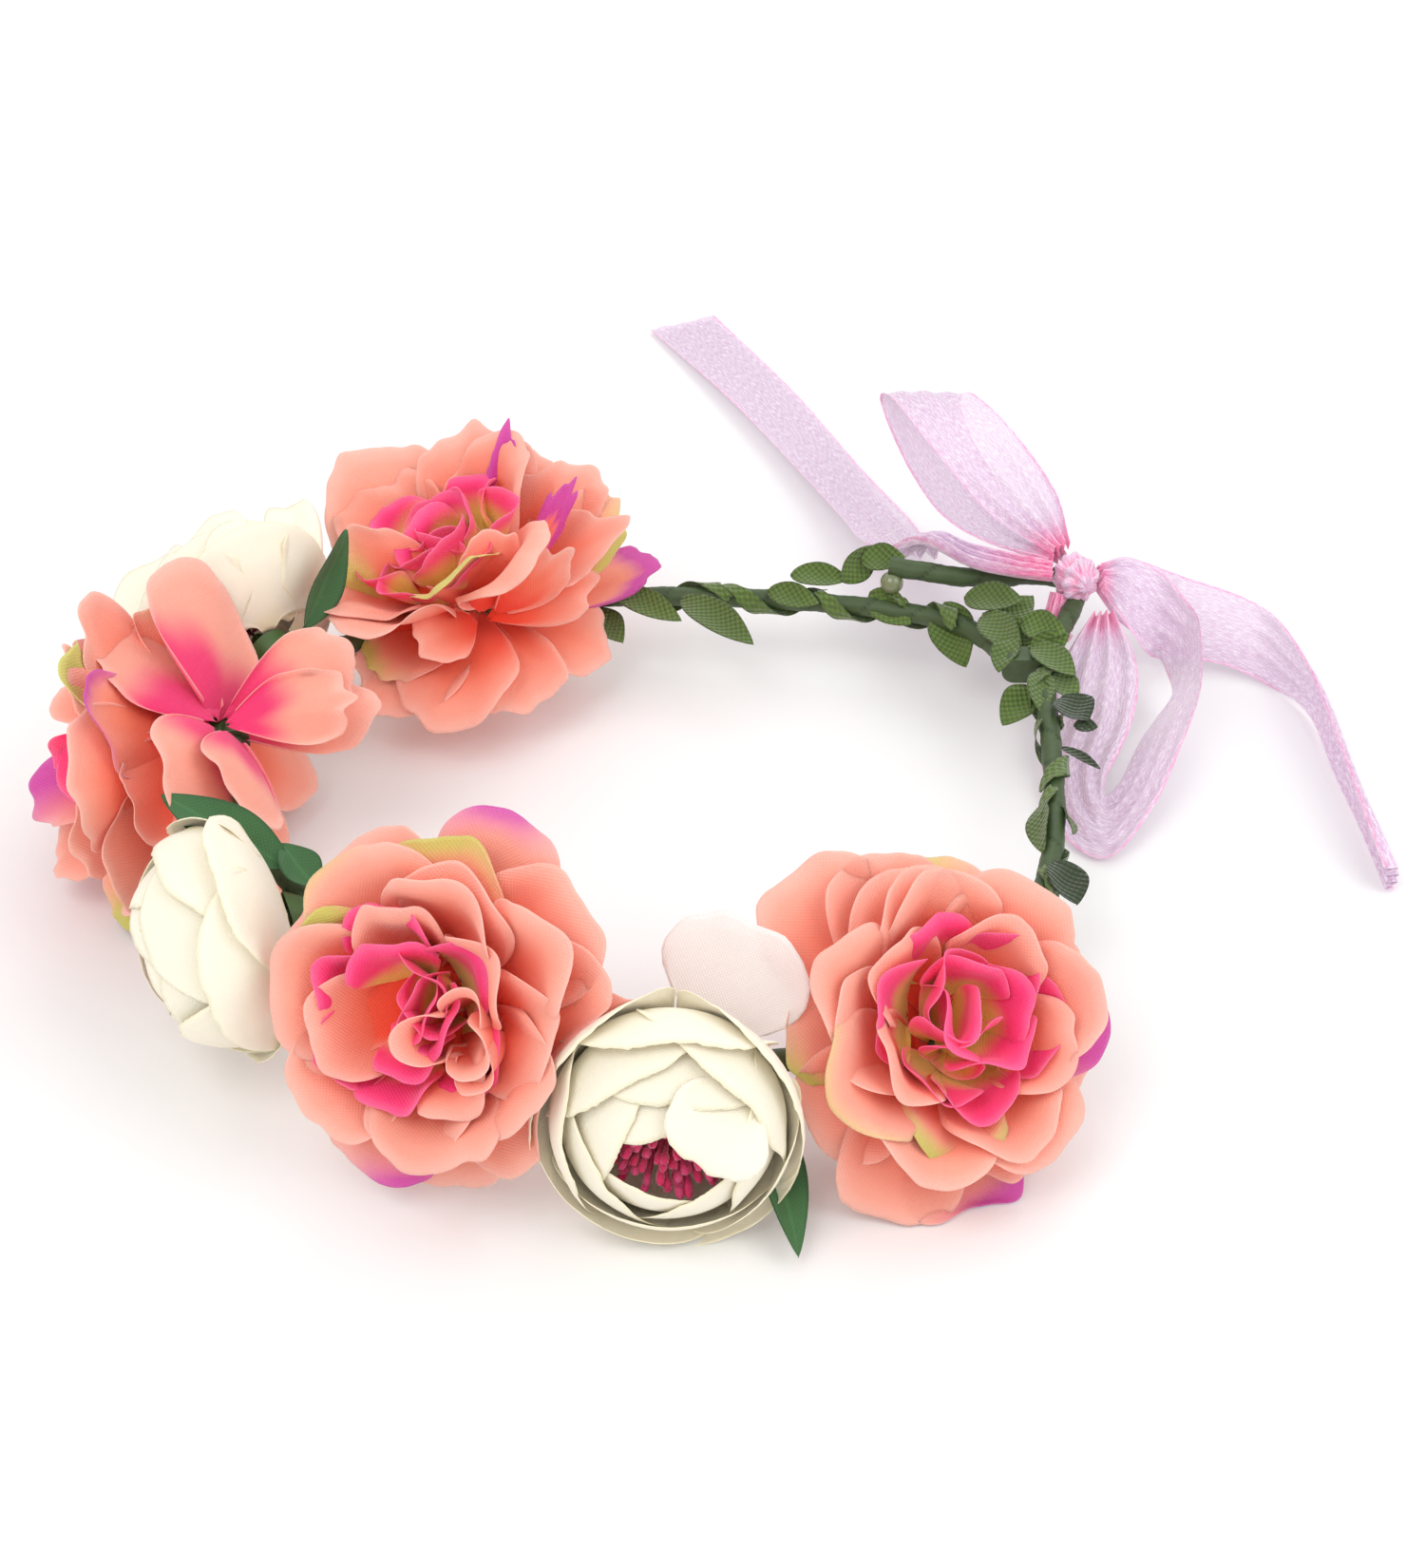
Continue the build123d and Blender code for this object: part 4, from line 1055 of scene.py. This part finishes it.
def pleated(near, far, travelled, crimp):
    """Points between two edges, with pleats where they are closer than the ribbon's cut width."""
    t = ACROSS[..., None]
    points = near[:, None, :] * (1 - t) + far[:, None, :] * t
    normal = np.cross(far - near, np.gradient((near + far) / 2, axis=0))
    normal /= np.linalg.norm(normal, axis=1, keepdims=True)
    width = np.linalg.norm(far - near, axis=1)
    fullness = np.sqrt(np.maximum((RIBBON_WIDTH / width) ** 2 - 1, 0))[:, None]
    depth = PLEAT_DEPTH * width[:, None] / PLEATS * fullness
    pleats = depth * np.sin(2 * math.pi * PLEATS * ACROSS + 0.4)
    soft = crimp * np.sin(travelled[:, None] / 9.0 + 3 * ACROSS) * np.sin(math.pi * ACROSS)
    points = points + (pleats + soft)[..., None] * normal[:, None, :]
    points[..., 2] = np.maximum(points[..., 2], FLOOR + RIBBON_ABOVE_FLOOR)
    return points, np.clip(1 - width / RIBBON_WIDTH, 0, 1)[:, None]


def organza_tint(centre, gathered):
    """Pinker at the selvedges and where it is pulled tight near the knot. Alpha is how much it hides."""
    selvedge = np.maximum(ramp(0.955, 0.99, ACROSS), ramp(0.955, 0.99, 1 - ACROSS)) * np.ones_like(gathered)
    tint = between(np.broadcast_to(ORGANZA, (*selvedge.shape, 3)), ORGANZA_EDGE, selvedge)
    near_knot = 1 - ramp(8, 30, np.linalg.norm(centre - np.array(KNOT_CENTRE), axis=1))[:, None]
    tint = between(tint, ORGANZA_TIGHT, near_knot * ramp(0.2, 0.8, gathered * np.ones_like(ACROSS)))
    sheer = SHEER + 0.25 * selvedge + 0.3 * ramp(0.25, 0.75, gathered)
    return np.concatenate([tint, np.clip(sheer, 0, 0.97)[..., None]], axis=-1)


def organza_ribbon(name, edges, body, replaces, crimp=0.5):
    """A strip of organza between two edges."""
    near = through([a for a, b in edges], 16)
    far = through([b for a, b in edges], 16)
    centre = (near + far) / 2
    travelled = np.concatenate([[0], np.cumsum(np.linalg.norm(np.diff(centre, axis=0), axis=1))])
    points, gathered = pleated(near, far, travelled, crimp)
    cloth = np.stack([ACROSS * RIBBON_WIDTH * np.ones_like(gathered),
                      travelled[:, None] * np.ones_like(ACROSS)], axis=-1)
    piece = make_piece(name, [(points, organza_tint(centre, gathered), cloth)], "organza", body=body,
                       thickness=0, replaces=replaces)


KNOT_RADIUS = 5.4
KNOT_LEAN = 25             # degrees


def ribbon_knot():
    """Organza pulled tight round itself: a small ball of folds."""
    around = np.linspace(0, 2 * math.pi, 61)[None, :]
    over = np.linspace(0.02, math.pi - 0.02, 31)[:, None]
    folds = 0.16 * np.sin(7 * over + 1.2 * np.sin(around)) + 0.08 * np.sin(9 * around + 3 * over)
    radius = KNOT_RADIUS * (1 + folds * np.sin(over))
    points = np.stack([radius * np.sin(over) * np.cos(around) * 0.9,
                       radius * np.cos(over) * np.ones_like(around),
                       radius * np.sin(over) * np.sin(around) * 1.05], axis=-1)
    points = turned(points, KNOT_LEAN) + np.array(KNOT_CENTRE)
    colour = between(np.broadcast_to(ORGANZA_TIGHT, points.shape), ORGANZA, 0.5 + 2 * folds)
    tint = np.concatenate([colour, np.full((*colour.shape[:2], 1), 0.93)], axis=-1)
    cloth = np.stack([5 * around * np.ones_like(over), 5 * over * np.ones_like(around)], axis=-1)
    make_piece("ribbon_knot_folds", [(points, tint, cloth)], "organza", thickness=0, replaces=["ribbon_knot"])


# ---- the crown ----
for peony in CORAL_OUTER:
    coral_peony(peony)
for ranunculus, way, open_rims in (("cream_back_left", 0, False), ("cream_left_front", 120, False),
                                   ("cream_front", 200, True)):
    cream_ranunculus(ranunculus, way, open_rims)
    stamen_tuft(ranunculus)

tape_round_band("band_tape", 0, SPLIT_AT + 1, ["ring_tape"])
tape_round_band("eye_band_tape", SPLIT_AT, len(BAND_LINE), ["eye_tape"])

make_piece("back_garland", [leaf(*spec) for spec in SATIN_BACK], "leaf_satin",
           replaces=["garland_leaves_back"])
make_piece("eye_garland", [leaf(*spec) for spec in SATIN_EYE], "leaf_satin", replaces=["garland_leaves_eye"])
make_piece("right_garland", [leaf(*spec) for spec in SATIN_RIGHT]
           + [leaf(*spec, colour=LEAF_DARK, point=0.6) for spec in ROUND_LEAVES], "leaf_satin",
           replaces=["garland_leaves_right"])
make_piece("garland_turns", [satin_strip(*run) for run in SATIN_RUNS], "leaf_satin",
           replaces=["garland_wraps"])
make_piece("green_leaves", [leaf(*spec, colour=LEAF_GREEN, vein=0.06, arch=0.10) for spec in CLOTH_LEAVES],
           "leaf_cloth", replaces=["flower_leaves"])

blush_petal()
ribbon_knot()
organza_ribbon("bow_strap", STRAP_EDGES, "crown", ["ribbon_strap"])
organza_ribbon("eye_throat", THROAT_EDGES, "crown", ["ribbon_throat"], crimp=0.1)
organza_ribbon("upper_bow_loop", UPPER_LOOP_EDGES, "upper_loop", ["bow_loop_upper"])
organza_ribbon("lower_bow_loop", LOWER_LOOP_EDGES, "lower_loop", ["bow_loop_lower"])
organza_ribbon("left_ribbon_tail", LEFT_TAIL_EDGES, "left_tail", ["ribbon_tail_left"])
organza_ribbon("right_ribbon_tail", RIGHT_TAIL_EDGES, "right_tail", ["ribbon_tail_right"])

CARRIED_OVER = {"ring_wire": "steel_wire", "stem_binding_tape": "bound_tape", "tie_binding": "bound_tape",
                "glue_blob": "clear_glue"}
CARRIED_OVER.update({f"{name}_calyx": "calyx_plastic" for name in FLOWERS})
for node, finish in CARRIED_OVER.items():
    NODES[node].data.materials.clear()
    NODES[node].data.materials.append(MATERIALS[finish])


# ---- studio ----
FLOOR_HALF_SIDE = 2.5
LAMPS = (                  # name, place, size in metres, power in watts
    ("key", (-0.6, -0.7, 1.3), 0.9, 7), ("fill", (0.9, -0.5, 0.9), 0.9, 4), ("back", (0.2, 1.0, 1.1), 0.9, 3),
)


def pale_floor():
    """A plain square at the height of the CAD model's lowest point."""
    mesh = bpy.data.meshes.new("floor")
    half, level = FLOOR_HALF_SIDE, CAD_BOX[0][2]
    corners = [(-half, -half, level), (half, -half, level), (half, half, level), (-half, half, level)]
    mesh.from_pydata(corners, [], [(0, 1, 2, 3)])
    floor = bpy.data.objects.new("floor", mesh)
    bpy.context.scene.collection.objects.link(floor)
    material, nodes, _ = shader_nodes("floor")
    set_inputs(nodes["Principled BSDF"], {"Base Color": (0.90, 0.90, 0.90, 1), "Roughness": 0.9})
    mesh.materials.append(material)


def soft_lights():
    """A white surround and three large lamps that point at the origin."""
    world = bpy.data.worlds.new("studio")
    world.use_nodes = True
    set_inputs(world.node_tree.nodes["Background"], {"Color": (1, 1, 1, 1), "Strength": 0.88})
    bpy.context.scene.world = world
    for name, place, size, power in LAMPS:
        lamp = bpy.data.lights.new(name, "AREA")
        lamp.size = size
        lamp.energy = power
        light = bpy.data.objects.new(name, lamp)
        light.location = place
        light.rotation_euler = (-Vector(place)).to_track_quat("-Z", "Y").to_euler()
        bpy.context.scene.collection.objects.link(light)


pale_floor()
soft_lights()
bpy.context.scene.view_settings.view_transform = "Standard"
